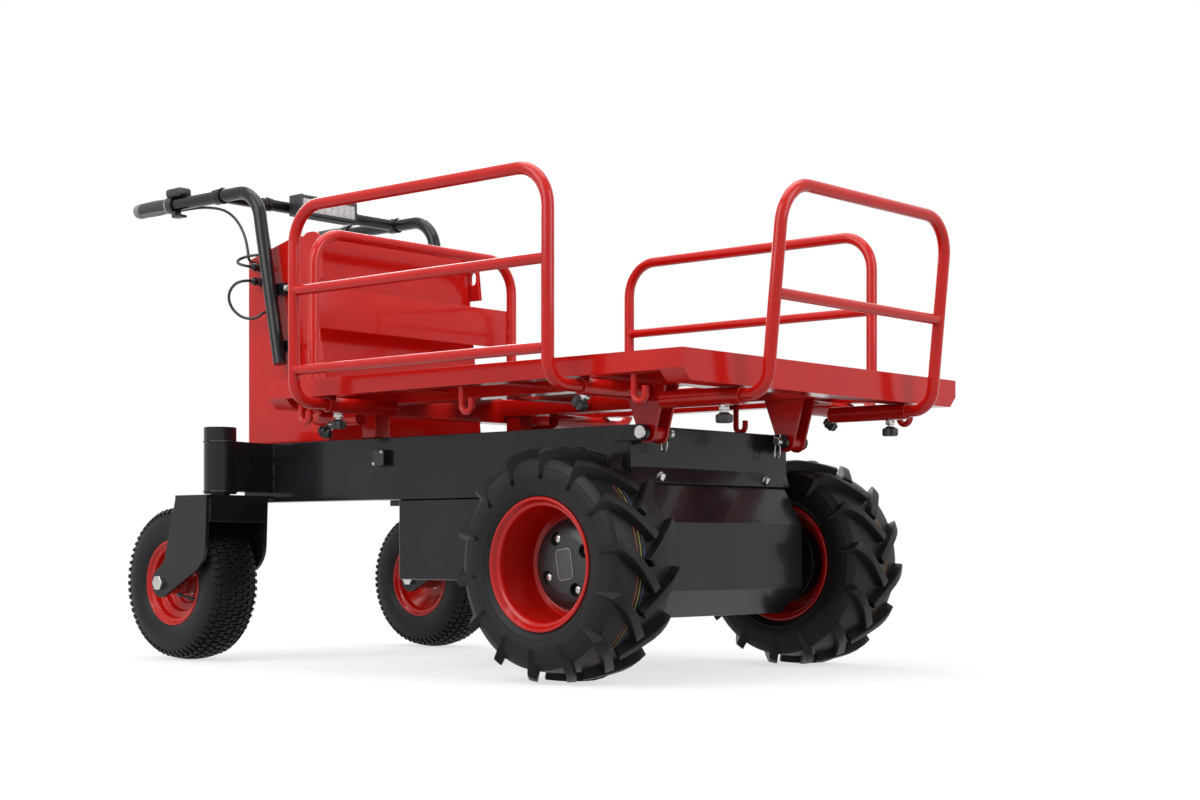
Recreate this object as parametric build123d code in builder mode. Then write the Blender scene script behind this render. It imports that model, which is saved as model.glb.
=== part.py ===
"""A walk-behind electric flatbed dumper, in millimetres.

Two driven wheels carry the front of a black chassis, two casters carry the rear, and a red flat bed
hinges forward on two pins at the front. X is across the machine, +Y points to the operator's
handles, and +Z is up. The origin is on the floor, in the middle of the machine's outline.
"""
import os
from math import asin, cos, degrees, radians, sin, sqrt, tan

from build123d import *

os.makedirs("parts", exist_ok=True)

SIDES = {"right": -1, "left": 1}  # as the operator sees them, facing -Y

# Drive wheels
drive_track = 690.0
drive_radius = 204.0
drive_width = 160.0
drive_flange_radius = 116.0
drive_bead_radius = 101.0
drive_rim_half = 72.0
drive_bulge_radius = 150.0
drive_shoulder_inset = 8.0
drive_shoulder_drop = 7.0
rim_sheet = 4.0
drive_disc_inset = 30.0
drive_disc_thick = 6.0
drive_hub_radius = 80.0
drive_hub_edge = 12.0
drive_hub_face = 55.0
drive_hub_depth = 28.0
hub_pockets = 4
hub_pocket_ring = 50.0
hub_pocket_radius = 12.5
hub_pocket_depth = 14.0
hub_pocket_turn = 28.0
drive_shaft_radius = 15.0
drive_shaft_reach = 15.0

# Lugs: half of them lie on each side of the tyre's middle, with their inner ends leading
lug_count = 14
lug_lead = 22.3
lug_width = 26.0
lug_height = 17.0
lug_root = 14.0
lug_end_inset = 2.0
lug_end_drop = 13.0
lug_overlap = 9.0

# Casters
caster_track = 694.0
caster_trail = 95.0
caster_radius = 160.0
caster_width = 116.0
caster_bulge_radius = 122.0
caster_shoulder_half = 37.0
caster_shoulder_drop = 6.0
caster_flange_radius = 89.0
caster_bead_radius = 76.0
caster_rim_half = 50.0
caster_hub_radius = 24.0
caster_hub_clear = 1.0
caster_bolt_radius = 8.0
bolt_head_radius = 16.0
bolt_head_thick = 10.0
fork_gap = 12.0
fork_plate = 8.0
fork_front = 58.0
fork_rear = 46.0
fork_lip = 15.0
fork_web = 47.0
fork_eye_radius = 30.0
fork_front_elbow = (-147.0, 41.0)  # from the axle, as the rear elbow is
fork_front_bend = 60.0
fork_rear_elbow = (-11.0, 44.0)
fork_rear_bend = 25.0
fork_toe_turn = 243.0
fork_heel_turn = 45.0
fork_tyre_gap = 11.0
stem_radius = 20.0

# Chassis, heights from the floor and lengths from the drive axle towards the handles
wheelbase = 962.0
beam_outer = 232.0
beam_width = 50.0
beam_wall = 4.0
beam_bottom = 327.0
beam_top = 449.0
beam_front = -44.0
beam_overhang = 68.0
rear_cross_depth = 60.0
rear_cross_height = 80.0
head_radius = 33.0
head_top = 479.0
head_gap = 3.0
outrigger_width = 60.0
outrigger_drop = 102.0
plate_sheet = 5.0
plate_bend_z = 376.0
plate_foot_z = 348.0
plate_foot_kick = 8.0

# Bed hinge
pin_y = -80.0
pin_z = 434.0
pin_radius = 8.0
pin_head_radius = 12.0
pin_head_thick = 5.0
ear_radius = 14.0
ear_plate = 8.0
ear_length = 68.0
hinge_gap = 6.0
running_fit = 0.05
bracket_width = 40.0
bracket_plate = 5.0
bracket_eye_radius = 19.0
bracket_top_front = 42.0
bracket_top_rear = 50.0

# Drive unit and battery box below the beams
cover_half = 220.0
cover_sheet = 4.0
cover_front = -95.0
cover_shoulder_z = 277.0
cover_knee_z = 156.0
cover_bottom = 106.0
cover_bevel = 50.0
cover_rear = 130.0
axle_tube_radius = 38.0
gearbox_radius = 72.0
gearbox_half = 120.0
drum_radius = 80.0
drum_depth = 30.0
drum_gap = 8.0
hanger_thick = 12.0
hanger_width = 90.0
battery_half = 226.0
battery_front = 134.0
battery_rear = 556.0
battery_bottom = 170.0

# Bed
bed_half = 416.0
bed_front = -316.0
bed_console_gap = 51.0
bed_top = 553.0
end_bar_height = 52.0
end_bar_width = 50.0
side_bar_height = 34.0
side_bar_width = 34.0
bar_chamfer = 20.0
rail_width = 44.0
rail_height = 35.0
cross_height = 20.0
cross_width = 40.0
cross_count = 3
board_thick = 3.0
board_width = 120.0
board_gap = 60.0
rest_size = 40.0
rest_inset = 75.0
rest_gap = 0.3

# Guards round the bed, with the sleeves that hold them
tube_radius = 11.0
bar_radius = 9.5
sleeve_radius = 15.0
sleeve_length = 172.0
rear_sleeve_length = 115.0
sleeve_clear = 0.1
sleeve_rail_gap = 2.0
mouth_inset = 4.0
side_mouth_inset = 14.0
slide_fit = 0.08
guard_corner = 70.0
guard_foot_bend = 40.0
rear_foot_bend = 22.0
side_guard_out = 64.0
side_post_front = -82.0
side_post_inset = 154.0
side_low_z = 563.0
side_mid_z = 711.0
side_top_z = 866.0
front_post_half = 253.0
front_guard_out = 46.0
front_guard_lean = 5.6
front_mid_z = 650.0
front_top_z = 832.0
rear_post_half = 284.0
rear_guard_out = 24.0
rear_top_z = 866.0
rear_plate_low = 674.0
rear_plate_high = 757.0
rear_plate_thick = 3.0
guard_end_inset = 4.0
knob_thick = 18.0
knob_screw_radius = 6.0
knob_reach = 27.0
knob_core = 12.0
knob_lobes = 6
knob_lobe_ring = 10.5
knob_lobe_radius = 4.5
knob_tilt = 45.0
side_knob_inset = 30.0
end_knob_inset = 39.0
hook_radius = 6.0
hook_bend = 12.0
hook_drop = 34.0
hook_tip = 12.0
hook_front_inset = 116.0
hook_rear_inset = 79.0

# Console and handles
console_half = 222.0
console_length = 260.0
console_lean = 50.0
console_flat = 65.0
console_top_z = 877.0
console_slope_drop = 34.0
console_sheet = 4.0
dash_thick = 3.0
dash_margin = 14.0
eye_plate_thick = 8.0
eye_plate_bottom = 780.0
eye_plate_top = 880.0
eye_plate_ahead = 28.0
eye_plate_behind = 26.0
eye_plate_corner = 20.0
eye_hole_ahead = 12.0
eye_hole_z = 829.0
eye_hole_radius = 9.0
eye_hole_length = 28.0
handle_radius = 14.0
handle_inset = 141.0
handle_bottom_z = 612.0
handle_lean = 11.9
handle_rise = 105.0
handle_bend = 70.0
handle_reach = 355.0
handle_cross_reach = 58.0
handle_cross_radius = 13.0
grip_radius = 17.0
grip_length = 118.0
grip_end = 5.0
grip_edge = 4.0
clamp_radius = 20.0
clamp_length = 20.0
clamp_gap = 4.0
control_length = 54.0
control_width = 34.0
control_height = 20.0
thumb_length = 26.0
thumb_thick = 6.0
thumb_drop = 10.0
saddle_heights = (650.0, 770.0)
saddle_thick = 13.8
saddle_width = 56.0
saddle_height = 24.0
saddle_clear = 0.2
lamp_half = 80.0
lamp_depth = 44.0
lamp_height = 46.0
lamp_gap = 6.0
lamp_foot = 12.0
gland_radius = 9.0
gland_length = 28.0
gland_inset = 45.0
gland_heights = (792.0, 822.0)
cable_radius = 3.0
cable_slack = 0.45
throttle_inboard = 14.0
throttle_below = 11.0
throttle_inset = 25.0
throttle_drop = 9.0
socket_size = 32.0
socket_depth = 14.0
socket_corner = 5.0
socket_y = 594.0
socket_z = 409.0

# Points of the cables' routes, outwards, back and up from a cable's start or end
throttle_from_clamp = ((0, 0, 0), (0, -53, 0), (-1, -103, -5), (-2, -151, -16), (0, -193, -41))
throttle_to_console = ((18, 13, 59), (19, 1, 24), (18, 0, 0), (0, 0, 0))
upper_loop = ((0, 0, 0), (16, 0, 0), (22, 17, 6), (12, 28, 16), (-4, 18, 24), (-13, 0, 26), (-16, -13, 25))
lower_loop = (
    (0, 0, 0), (18, 0, 0), (32, 18, -9), (34, 34, -32), (26, 31, -59), (12, 11, -79), (-4, -13, -80),
    (-14, -28, -64),
)
gland_loops = (lower_loop, upper_loop)

# Places worked out from the sizes above. Lengths run from the drive axle, and drive_y moves them so
# that the origin lies halfway between the front guard's top bar and the ends of the grips.
beam_rear = wheelbase + beam_overhang
console_front = beam_rear - console_length
console_top_front = console_front + console_lean
console_top_knee = console_top_front + console_flat
console_rear_z = console_top_z - console_slope_drop
handle_half = console_half + saddle_thick + saddle_clear + handle_radius
handle_bottom_y = beam_rear - handle_inset
handle_z = console_top_z + handle_rise
handle_end = beam_rear + handle_reach
handle_cross_y = beam_rear + handle_cross_reach
bed_rear = console_front - bed_console_gap
hook_places = (bed_front + hook_front_inset, (bed_front + bed_rear) / 2, bed_rear - hook_rear_inset)
lean = tan(radians(front_guard_lean))
front_sleeve_z = bed_top - end_bar_height - sleeve_radius - sleeve_clear
side_sleeve_z = bed_top - side_bar_height - sleeve_radius - sleeve_clear
front_post_y = bed_front - front_guard_out
front_top_y = front_post_y - (front_top_z - front_sleeve_z) * lean
drive_y = (-(front_top_y - tube_radius) - handle_end) / 2
lug_pitch = 360 / lug_count
lug_half_turn = degrees(asin(lug_width / 2 / drive_radius))
lug_rest_turn = lug_pitch / 4 + lug_lead * 3 / 4  # it stands on the edges of two lugs that overlap
axle_z = drive_radius * cos(radians((lug_lead - lug_pitch) / 4 + lug_half_turn))
caster_z = caster_radius
swivel_y = drive_y + wheelbase
fork_top_z = 2 * caster_radius + fork_tyre_gap + fork_plate
head_bottom = fork_top_z + head_gap
hinge_y = drive_y + pin_y
rail_x = beam_outer - hinge_gap - bracket_width / 2
rail_bottom = bed_top - board_thick - rail_height


def save(piece, name):
    piece.part.label = name
    export_step(piece.part, f"parts/{name}.step")


def ring_sketch(points):
    """A closed outline of radius and width points, to be turned about the wheel's own axis."""
    with BuildLine() as outline:
        Polyline(*points, close=True)
    make_face(outline.edges())


def sweep_tube(points, radii, radius):
    """A round bar along straight runs joined by arcs."""
    with BuildLine() as path:
        FilletPolyline(*points, radius=radii)
    with BuildSketch(Plane(origin=path.line @ 0, z_dir=path.line % 0)) as section:
        Circle(radius)
    sweep(section.sketch, path=path.line)


def block(x_range, y_range, z_range, mode=Mode.ADD):
    """A rectangular block between the given limits."""
    centre = [(low + high) / 2 for low, high in (x_range, y_range, z_range)]
    size = [high - low for low, high in (x_range, y_range, z_range)]
    with Locations(tuple(centre)):
        Box(*size, mode=mode)


def span(side, near, far):
    """The X range from near to far on one side of the machine, lowest first."""
    return tuple(sorted((side * near, side * far)))


# Chassis frame: two box beams, a rear cross member, and a head tube on an outrigger at each side
with BuildPart() as chassis_frame:
    beam_inner = beam_outer - beam_width
    beam_y = (drive_y + beam_front, drive_y + beam_rear)
    cross_y = (beam_y[1] - rear_cross_depth, beam_y[1])
    for side in SIDES.values():
        block(span(side, beam_inner, beam_outer), beam_y, (beam_bottom, beam_top))
        head_x = side * caster_track / 2
        outrigger_y = (swivel_y - outrigger_width / 2, swivel_y + outrigger_width / 2)
        block(span(side, beam_outer, caster_track / 2), outrigger_y, (beam_top - outrigger_drop, beam_top))
        with BuildSketch(Plane.XY.offset(head_bottom)):
            with Locations((head_x, swivel_y)):
                Circle(head_radius)
        extrude(amount=head_top - head_bottom)
        with BuildSketch(Plane.XY.offset(head_bottom)):
            with Locations((head_x, swivel_y)):
                Circle(stem_radius + running_fit)
        extrude(amount=head_top - head_bottom - plate_sheet, mode=Mode.SUBTRACT)
    block((-beam_inner, beam_inner), cross_y, (beam_top - rear_cross_height, beam_top))
    for side in SIDES.values():
        hollow = span(side, beam_inner + beam_wall, beam_outer - beam_wall)
        hollow_z = (beam_bottom + beam_wall, beam_top - beam_wall)
        block(hollow, (beam_y[0], cross_y[0]), hollow_z, mode=Mode.SUBTRACT)
save(chassis_frame, "chassis_frame")

# Front plate: a sheet across the ends of the beams, its foot bent forwards
with BuildPart() as front_plate:
    with BuildSketch(Plane.YZ.offset(-beam_outer)):
        with BuildLine():
            face_y = drive_y + beam_front
            Polyline(
                (face_y, beam_top),
                (face_y, plate_bend_z),
                (face_y - plate_foot_kick, plate_foot_z),
                (face_y - plate_foot_kick - plate_sheet, plate_foot_z),
                (face_y - plate_sheet, plate_bend_z),
                (face_y - plate_sheet, beam_top),
                close=True,
            )
        make_face()
    extrude(amount=2 * beam_outer)
save(front_plate, "front_plate")

# Hinge ears: a flat bar on the outside of each beam and one on the front plate, bored for the pin
with BuildPart() as hinge_ears:
    for side in SIDES.values():
        outer = span(side, beam_outer, beam_outer + ear_plate)
        inner_face = beam_outer - 2 * hinge_gap - bracket_width
        inner = span(side, inner_face - ear_plate, inner_face)
        plate_front = drive_y + beam_front - plate_sheet
        for x_range, back in ((outer, hinge_y + ear_length), (inner, plate_front)):
            with BuildSketch(Plane.YZ.offset(x_range[0])):
                with Locations((hinge_y, pin_z)):
                    Circle(ear_radius)
                with Locations(((hinge_y + back) / 2, pin_z)):
                    Rectangle(back - hinge_y, 2 * ear_radius)
                with Locations((hinge_y, pin_z)):
                    Circle(pin_radius + running_fit, mode=Mode.SUBTRACT)
            extrude(amount=ear_plate)
save(hinge_ears, "hinge_ears")

# Hinge pins: headed outside, each long enough to take a clip past the inner ear
with BuildPart() as hinge_pins:
    pin_inner = beam_outer - 2 * hinge_gap - bracket_width - ear_plate - 2 * pin_radius
    pin_outer = beam_outer + ear_plate
    for side in SIDES.values():
        with BuildSketch(Plane.YZ.offset(side * pin_inner)):
            with Locations((hinge_y, pin_z)):
                Circle(pin_radius)
        extrude(amount=side * (pin_outer - pin_inner))
        with BuildSketch(Plane.YZ.offset(side * pin_outer)):
            with Locations((hinge_y, pin_z)):
                Circle(pin_head_radius)
        extrude(amount=side * pin_head_thick)
save(hinge_pins, "hinge_pins")

# Drive cover: a bent sheet in front of and below the drive unit, with a cheek at each end
cover_y = drive_y + cover_front
cover_back = drive_y + cover_rear
plate_foot_y = drive_y + beam_front - plate_foot_kick
cover_outline = (
    (plate_foot_y, plate_foot_z),
    (cover_y, cover_shoulder_z),
    (cover_y, cover_knee_z),
    (cover_y + cover_bevel, cover_bottom),
    (cover_back, cover_bottom),
)
with BuildPart() as drive_cover:
    with BuildSketch(Plane.YZ.offset(-cover_half)):
        with BuildLine():
            cover_lid = ((cover_back, beam_bottom), (drive_y + beam_front, beam_bottom))
            Polyline(*cover_outline, *cover_lid, close=True)
        make_face()
    extrude(amount=2 * cover_half)
    with BuildSketch(Plane.YZ.offset(-cover_half + cover_sheet)):
        with BuildLine():
            Polyline(
                (plate_foot_y + cover_sheet, plate_foot_z),
                (cover_y + cover_sheet, cover_shoulder_z),
                (cover_y + cover_sheet, cover_knee_z + cover_sheet / 2),
                (cover_y + cover_bevel + cover_sheet / 2, cover_bottom + cover_sheet),
                (cover_back, cover_bottom + cover_sheet),
                (cover_back, plate_foot_z),
                close=True,
            )
        make_face()
    extrude(amount=2 * (cover_half - cover_sheet), mode=Mode.SUBTRACT)
    with BuildSketch(Plane.YZ.offset(-cover_half)):
        with Locations((drive_y, axle_z)):
            Circle(axle_tube_radius + cover_sheet)
    extrude(amount=2 * cover_half, mode=Mode.SUBTRACT)
save(drive_cover, "drive_cover")

# Drive unit: motor and gearbox as one mass, axle tubes, end drums and stub shafts, hung from the beams
disc_inner = drive_track / 2 - drive_disc_inset
drum_outer = disc_inner - drum_gap
with BuildPart() as drive_unit:
    with BuildSketch(Plane.YZ.offset(-gearbox_half)):
        with Locations((drive_y, axle_z)):
            Circle(gearbox_radius)
    extrude(amount=2 * gearbox_half)
    for side in SIDES.values():
        stages = (
            (gearbox_half, drum_outer, axle_tube_radius),
            (drum_outer - drum_depth, drum_outer, drum_radius),
            (drum_outer, disc_inner + drive_disc_thick + drive_shaft_reach, drive_shaft_radius),
        )
        for start, end, radius in stages:
            with BuildSketch(Plane.YZ.offset(side * start)):
                with Locations((drive_y, axle_z)):
                    Circle(radius)
            extrude(amount=side * (end - start))
        hanger_y = (drive_y - hanger_width / 2, drive_y + hanger_width / 2)
        hanger_x = beam_outer - beam_width + hanger_thick
        block(span(side, hanger_x, hanger_x + hanger_thick), hanger_y, (axle_z, beam_bottom))
save(drive_unit, "drive_unit")

# Battery box: a closed box below the beams, behind the drive unit
with BuildPart() as battery_box:
    battery_y = (drive_y + battery_front, drive_y + battery_rear)
    block((-battery_half, battery_half), battery_y, (battery_bottom, beam_bottom))
save(battery_box, "battery_box")

# Charging socket with its cap, on the right beam
with BuildPart() as charge_socket:
    socket_edge = (drive_y + socket_y - socket_size / 2, drive_y + socket_y + socket_size / 2)
    socket_rise = (socket_z - socket_size / 2, socket_z + socket_size / 2)
    block(span(-1, beam_outer, beam_outer + socket_depth), socket_edge, socket_rise)
    fillet(charge_socket.edges().filter_by(Axis.X), radius=socket_corner)
save(charge_socket, "charge_socket")

# Console: a sheet box on the rear of the beams, open below, with a front that leans back
console_y = drive_y + console_front
console_back = drive_y + beam_rear
console_outline = (
    (console_y, beam_top),
    (drive_y + console_top_front, console_top_z),
    (drive_y + console_top_knee, console_top_z),
    (console_back, console_rear_z),
    (console_back, beam_top),
)
with BuildPart() as console:
    with BuildSketch(Plane.YZ.offset(-console_half)):
        with BuildLine():
            Polyline(*console_outline, close=True)
        make_face()
    extrude(amount=2 * console_half)
    underside = console.faces().sort_by(Axis.Z)[0]
    offset(amount=-console_sheet, openings=underside)
save(console, "console")

# Dash: a plate on the console's sloping top, facing the operator
slope_run = beam_rear - console_top_knee
with BuildPart() as dash:
    with BuildSketch(Plane.YZ.offset(-console_half + dash_margin)):
        with BuildLine():
            start = dash_margin / slope_run
            low_y = console_back - dash_margin
            high_y = drive_y + console_top_knee + dash_margin
            low_z = console_rear_z + console_slope_drop * start
            high_z = console_top_z - console_slope_drop * start
            Polyline(
                (high_y, high_z),
                (low_y, low_z),
                (low_y, low_z + dash_thick),
                (high_y, high_z + dash_thick),
                close=True,
            )
        make_face()
    extrude(amount=2 * (console_half - dash_margin))
save(dash, "dash")

# Eye plates: a lifting eye on each front corner of the console, leaning with its front
front_slope = console_lean / (console_top_z - beam_top)
with BuildPart() as eye_plates:
    foot_y = console_y + (eye_plate_bottom - beam_top) * front_slope
    head_y = console_y + (eye_plate_top - beam_top) * front_slope
    hole_y = console_y + (eye_hole_z - beam_top) * front_slope - eye_hole_ahead
    for side in SIDES.values():
        with BuildSketch(Plane.YZ.offset(min(span(side, console_half, console_half + eye_plate_thick)))):
            with BuildLine():
                Polyline(
                    (foot_y - eye_plate_ahead, eye_plate_bottom),
                    (head_y - eye_plate_ahead, eye_plate_top),
                    (head_y + eye_plate_behind, eye_plate_top),
                    (foot_y + eye_plate_behind, eye_plate_bottom),
                    close=True,
                )
            make_face()
            fillet(vertices().group_by(Axis.Y)[-1], radius=eye_plate_corner)
            with Locations((hole_y, eye_hole_z)):
                SlotOverall(eye_hole_length, 2 * eye_hole_radius, rotation=90, mode=Mode.SUBTRACT)
        extrude(amount=eye_plate_thick)
save(eye_plates, "eye_plates")

# Handles: two bent tubes up the console's sides, joined by a cross tube
handle_corner_y = handle_bottom_y + (handle_z - handle_bottom_z) * tan(radians(handle_lean))
with BuildPart() as handles:
    for side in SIDES.values():
        handle_x = side * handle_half
        route = (
            (handle_x, drive_y + handle_bottom_y, handle_bottom_z),
            (handle_x, drive_y + handle_corner_y, handle_z),
            (handle_x, drive_y + handle_end - grip_end, handle_z),
        )
        sweep_tube(route, handle_bend, handle_radius)
    with BuildSketch(Plane.YZ.offset(-handle_half)):
        with Locations((drive_y + handle_cross_y, handle_z)):
            Circle(handle_cross_radius)
    extrude(amount=2 * handle_half)
save(handles, "handles")

# Handle saddles: blocks on the console's sides that the handle tubes are bolted to
with BuildPart() as handle_saddles:
    for side in SIDES.values():
        for height in saddle_heights:
            middle_y = drive_y + handle_bottom_y + (height - handle_bottom_z) * tan(radians(handle_lean))
            saddle_y = (middle_y - saddle_width / 2, middle_y + saddle_width / 2)
            saddle_z = (height - saddle_height / 2, height + saddle_height / 2)
            outer_x = handle_half - handle_radius - saddle_clear
            block(span(side, console_half, outer_x), saddle_y, saddle_z)
save(handle_saddles, "handle_saddles")

# Grips: rubber sleeves closed at their ends
grip_y = (drive_y + handle_end - grip_length, drive_y + handle_end)
with BuildPart() as grips:
    for side in SIDES.values():
        with BuildSketch(Plane.XZ.offset(-grip_y[1])):
            with Locations((side * handle_half, handle_z)):
                Circle(grip_radius)
        extrude(amount=grip_length)
        with BuildSketch(Plane.XZ.offset(-grip_y[1] + grip_end)):
            with Locations((side * handle_half, handle_z)):
                Circle(handle_radius + running_fit)
        extrude(amount=grip_length - grip_end, mode=Mode.SUBTRACT)
    fillet(grips.edges().group_by(Axis.Y)[-1], radius=grip_edge)
save(grips, "grips")

# Controls: a clamp with a thumb tab on each handle, and the throttle's display box at the right
clamp_y = (grip_y[0] - clamp_gap - clamp_length, grip_y[0] - clamp_gap)
with BuildPart() as controls:
    for name, side in SIDES.items():
        handle_x = side * handle_half
        with BuildSketch(Plane.XZ.offset(-clamp_y[1])):
            with Locations((handle_x, handle_z)):
                Circle(clamp_radius)
        extrude(amount=clamp_length)
        thumb_x = (handle_x - clamp_radius / 2, handle_x + clamp_radius / 2)
        thumb_z = (handle_z - clamp_radius - thumb_drop, handle_z - clamp_radius + thumb_thick)
        block(thumb_x, (clamp_y[0] - thumb_thick, clamp_y[0] + thumb_thick), thumb_z)
        block(thumb_x, (clamp_y[0] - thumb_length, clamp_y[0]), (thumb_z[0], thumb_z[0] + thumb_thick))
        if name == "right":
            control_x = (handle_x - control_width / 2, handle_x + control_width / 2)
            control_y = (clamp_y[0] - (control_length - clamp_length), clamp_y[1])
            control_z = (handle_z + handle_radius + running_fit, handle_z + handle_radius + control_height)
            block(control_x, control_y, control_z)
        with BuildSketch(Plane.XZ.offset(-clamp_y[1])):
            with Locations((handle_x, handle_z)):
                Circle(handle_radius + running_fit)
        extrude(amount=control_length, mode=Mode.SUBTRACT)
save(controls, "controls")

# Work lamp: a bar lamp in front of the cross tube, on two feet
with BuildPart() as work_lamp:
    lamp_back = drive_y + handle_cross_y - handle_cross_radius - lamp_gap
    lamp_z = (handle_z - lamp_height / 2, handle_z + lamp_height / 2)
    block((-lamp_half, lamp_half), (lamp_back - lamp_depth, lamp_back), lamp_z)
    for side in SIDES.values():
        foot_x = span(side, lamp_half / 2, lamp_half / 2 + lamp_foot)
        foot_end = drive_y + handle_cross_y - handle_cross_radius - saddle_clear
        block(foot_x, (lamp_back, foot_end), (handle_z - lamp_foot / 2, handle_z + lamp_foot / 2))
save(work_lamp, "work_lamp")

# Cable glands on the console's right side
with BuildPart() as cable_glands:
    for height in gland_heights:
        with BuildSketch(Plane.YZ.offset(-console_half)):
            with Locations((drive_y + beam_rear - gland_inset, height)):
                RegularPolygon(gland_radius, 6)
        extrude(amount=-gland_length)
save(cable_glands, "cable_glands")


def cable(route):
    """A round cable along a route's points, each corner as wide as its two runs allow."""
    runs = [Vector(*end) - Vector(*start) for start, end in zip(route, route[1:])]
    radii = []
    for before, after in zip(runs, runs[1:]):
        turn = radians(before.get_angle(after))
        radii.append(cable_slack * min(before.length, after.length) / tan(turn / 2))
    sweep_tube(route, radii, cable_radius)
    print("cable bend radii", [round(radius, 1) for radius in radii])


# Control cables: the throttle's along the right handle and down to the console's side, and a loop from
# each gland back into that side
with BuildPart() as control_cables:
    start = Vector(throttle_inboard - handle_half, clamp_y[0], handle_z - throttle_below)
    end = Vector(-console_half, drive_y + beam_rear - throttle_inset, console_rear_z - throttle_drop)
    route = [start + Vector(-out, back, up) for out, back, up in throttle_from_clamp]
    route += [end + Vector(-out, back, up) for out, back, up in throttle_to_console]
    cable([tuple(point) for point in route])
    for height, loop in zip(gland_heights, gland_loops):
        tip = Vector(-console_half - gland_length, drive_y + beam_rear - gland_inset, height)
        ends_at = (-gland_length, *loop[-1][1:])
        cable([tuple(tip + Vector(-out, back, up)) for out, back, up in (*loop, ends_at)])
save(control_cables, "control_cables")

# Bed frame: tall bars at the ends, low bars at the sides, two rails over the hinges, and cross bars
side_inner = bed_half - side_bar_width
bed_y = (drive_y + bed_front, drive_y + bed_rear)
frame_top = bed_top - board_thick
side_mouth = bed_half - side_mouth_inset
side_sleeve_end = rail_x + rail_width / 2 + sleeve_rail_gap
sleeve_bore = tube_radius + slide_fit
side_sleeve_y = (drive_y + side_post_front, drive_y + bed_rear - side_post_inset)
with BuildPart() as bed_frame:
    for end in (bed_y[0], bed_y[1] - end_bar_width):
        with BuildSketch(Plane.XZ.offset(-end)):
            with BuildLine():
                bar_low = bed_top - end_bar_height
                Polyline(
                    (-bed_half, bed_top),
                    (-bed_half, bar_low + bar_chamfer),
                    (-bed_half + bar_chamfer, bar_low),
                    (bed_half - bar_chamfer, bar_low),
                    (bed_half, bar_low + bar_chamfer),
                    (bed_half, bed_top),
                    close=True,
                )
            make_face()
        extrude(amount=-end_bar_width)
    inside_y = (bed_y[0] + end_bar_width, bed_y[1] - end_bar_width)
    for side in SIDES.values():
        block(span(side, side_inner, bed_half), inside_y, (bed_top - side_bar_height, bed_top))
        rail_range = span(side, rail_x - rail_width / 2, rail_x + rail_width / 2)
        block(rail_range, inside_y, (rail_bottom, frame_top))
    cross_step = (inside_y[1] - inside_y[0]) / (cross_count + 1)
    for index in range(cross_count):
        cross_mid = inside_y[0] + (index + 1) * cross_step
        cross_range = (cross_mid - cross_width / 2, cross_mid + cross_width / 2)
        block((-side_inner, side_inner), cross_range, (frame_top - cross_height, frame_top))
save(bed_frame, "bed_frame")

# Guard sleeves: short tubes under the bars that the guards' feet slide into
with BuildPart() as guard_sleeves:
    for side in SIDES.values():
        for sleeve_y in side_sleeve_y:
            with BuildSketch(Plane.YZ.offset(side * side_mouth)):
                with Locations((sleeve_y, side_sleeve_z)):
                    Circle(sleeve_radius)
                    Circle(sleeve_bore, mode=Mode.SUBTRACT)
            extrude(amount=-side * (side_mouth - side_sleeve_end))
        for post_x, mouth, length in (
            (front_post_half, bed_y[0] + mouth_inset, sleeve_length),
            (rear_post_half, bed_y[1] - mouth_inset, -rear_sleeve_length),
        ):
            with BuildSketch(Plane.XZ.offset(-mouth)):
                with Locations((side * post_x, front_sleeve_z)):
                    Circle(sleeve_radius)
                    Circle(sleeve_bore, mode=Mode.SUBTRACT)
            extrude(amount=-length)
save(guard_sleeves, "guard_sleeves")

# Deck boards: flat boards along the bed with gaps between them, as many as fit between the side bars
board_step = board_width + board_gap
boards_per_side = int((side_inner + board_gap / 2) // board_step)
with BuildPart() as deck_boards:
    for side in SIDES.values():
        for index in range(boards_per_side):
            start = board_gap / 2 + index * board_step
            block(span(side, start, start + board_width), inside_y, (frame_top, bed_top))
save(deck_boards, "deck_boards")

# Bed brackets: two plates and a spacer tube under each rail, turning on the hinge pin
with BuildPart() as bed_brackets:
    for side in SIDES.values():
        for x_range in (
            span(side, rail_x + bracket_width / 2 - bracket_plate, rail_x + bracket_width / 2),
            span(side, rail_x - bracket_width / 2, rail_x - bracket_width / 2 + bracket_plate),
        ):
            with BuildSketch(Plane.YZ.offset(x_range[0])):
                with BuildLine():
                    Polyline(
                        (hinge_y - bracket_eye_radius, pin_z),
                        (hinge_y - bracket_top_front, rail_bottom),
                        (hinge_y + bracket_top_rear, rail_bottom),
                        (hinge_y + bracket_eye_radius, pin_z),
                        close=True,
                    )
                make_face()
                with Locations((hinge_y, pin_z)):
                    Circle(bracket_eye_radius)
            extrude(amount=bracket_plate)
        with BuildSketch(Plane.YZ.offset(side * (rail_x - bracket_width / 2))):
            with Locations((hinge_y, pin_z)):
                Circle(bracket_eye_radius - bracket_plate)
        extrude(amount=side * bracket_width)
    with BuildSketch(Plane.YZ.offset(-bed_half)):
        with Locations((hinge_y, pin_z)):
            Circle(pin_radius + running_fit)
    extrude(amount=2 * bed_half, mode=Mode.SUBTRACT)
save(bed_brackets, "bed_brackets")

# Bed rests: stub legs under the rails that stand on the beams while the bed is down
with BuildPart() as bed_rests:
    for side in SIDES.values():
        rest_mid = drive_y + bed_rear - rest_inset
        rest_range = (rest_mid - rest_size / 2, rest_mid + rest_size / 2)
        rest_x = span(side, rail_x - rest_size / 2, rail_x + rest_size / 2)
        block(rest_x, rest_range, (beam_top + rest_gap, rail_bottom))
save(bed_rests, "bed_rests")

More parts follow.
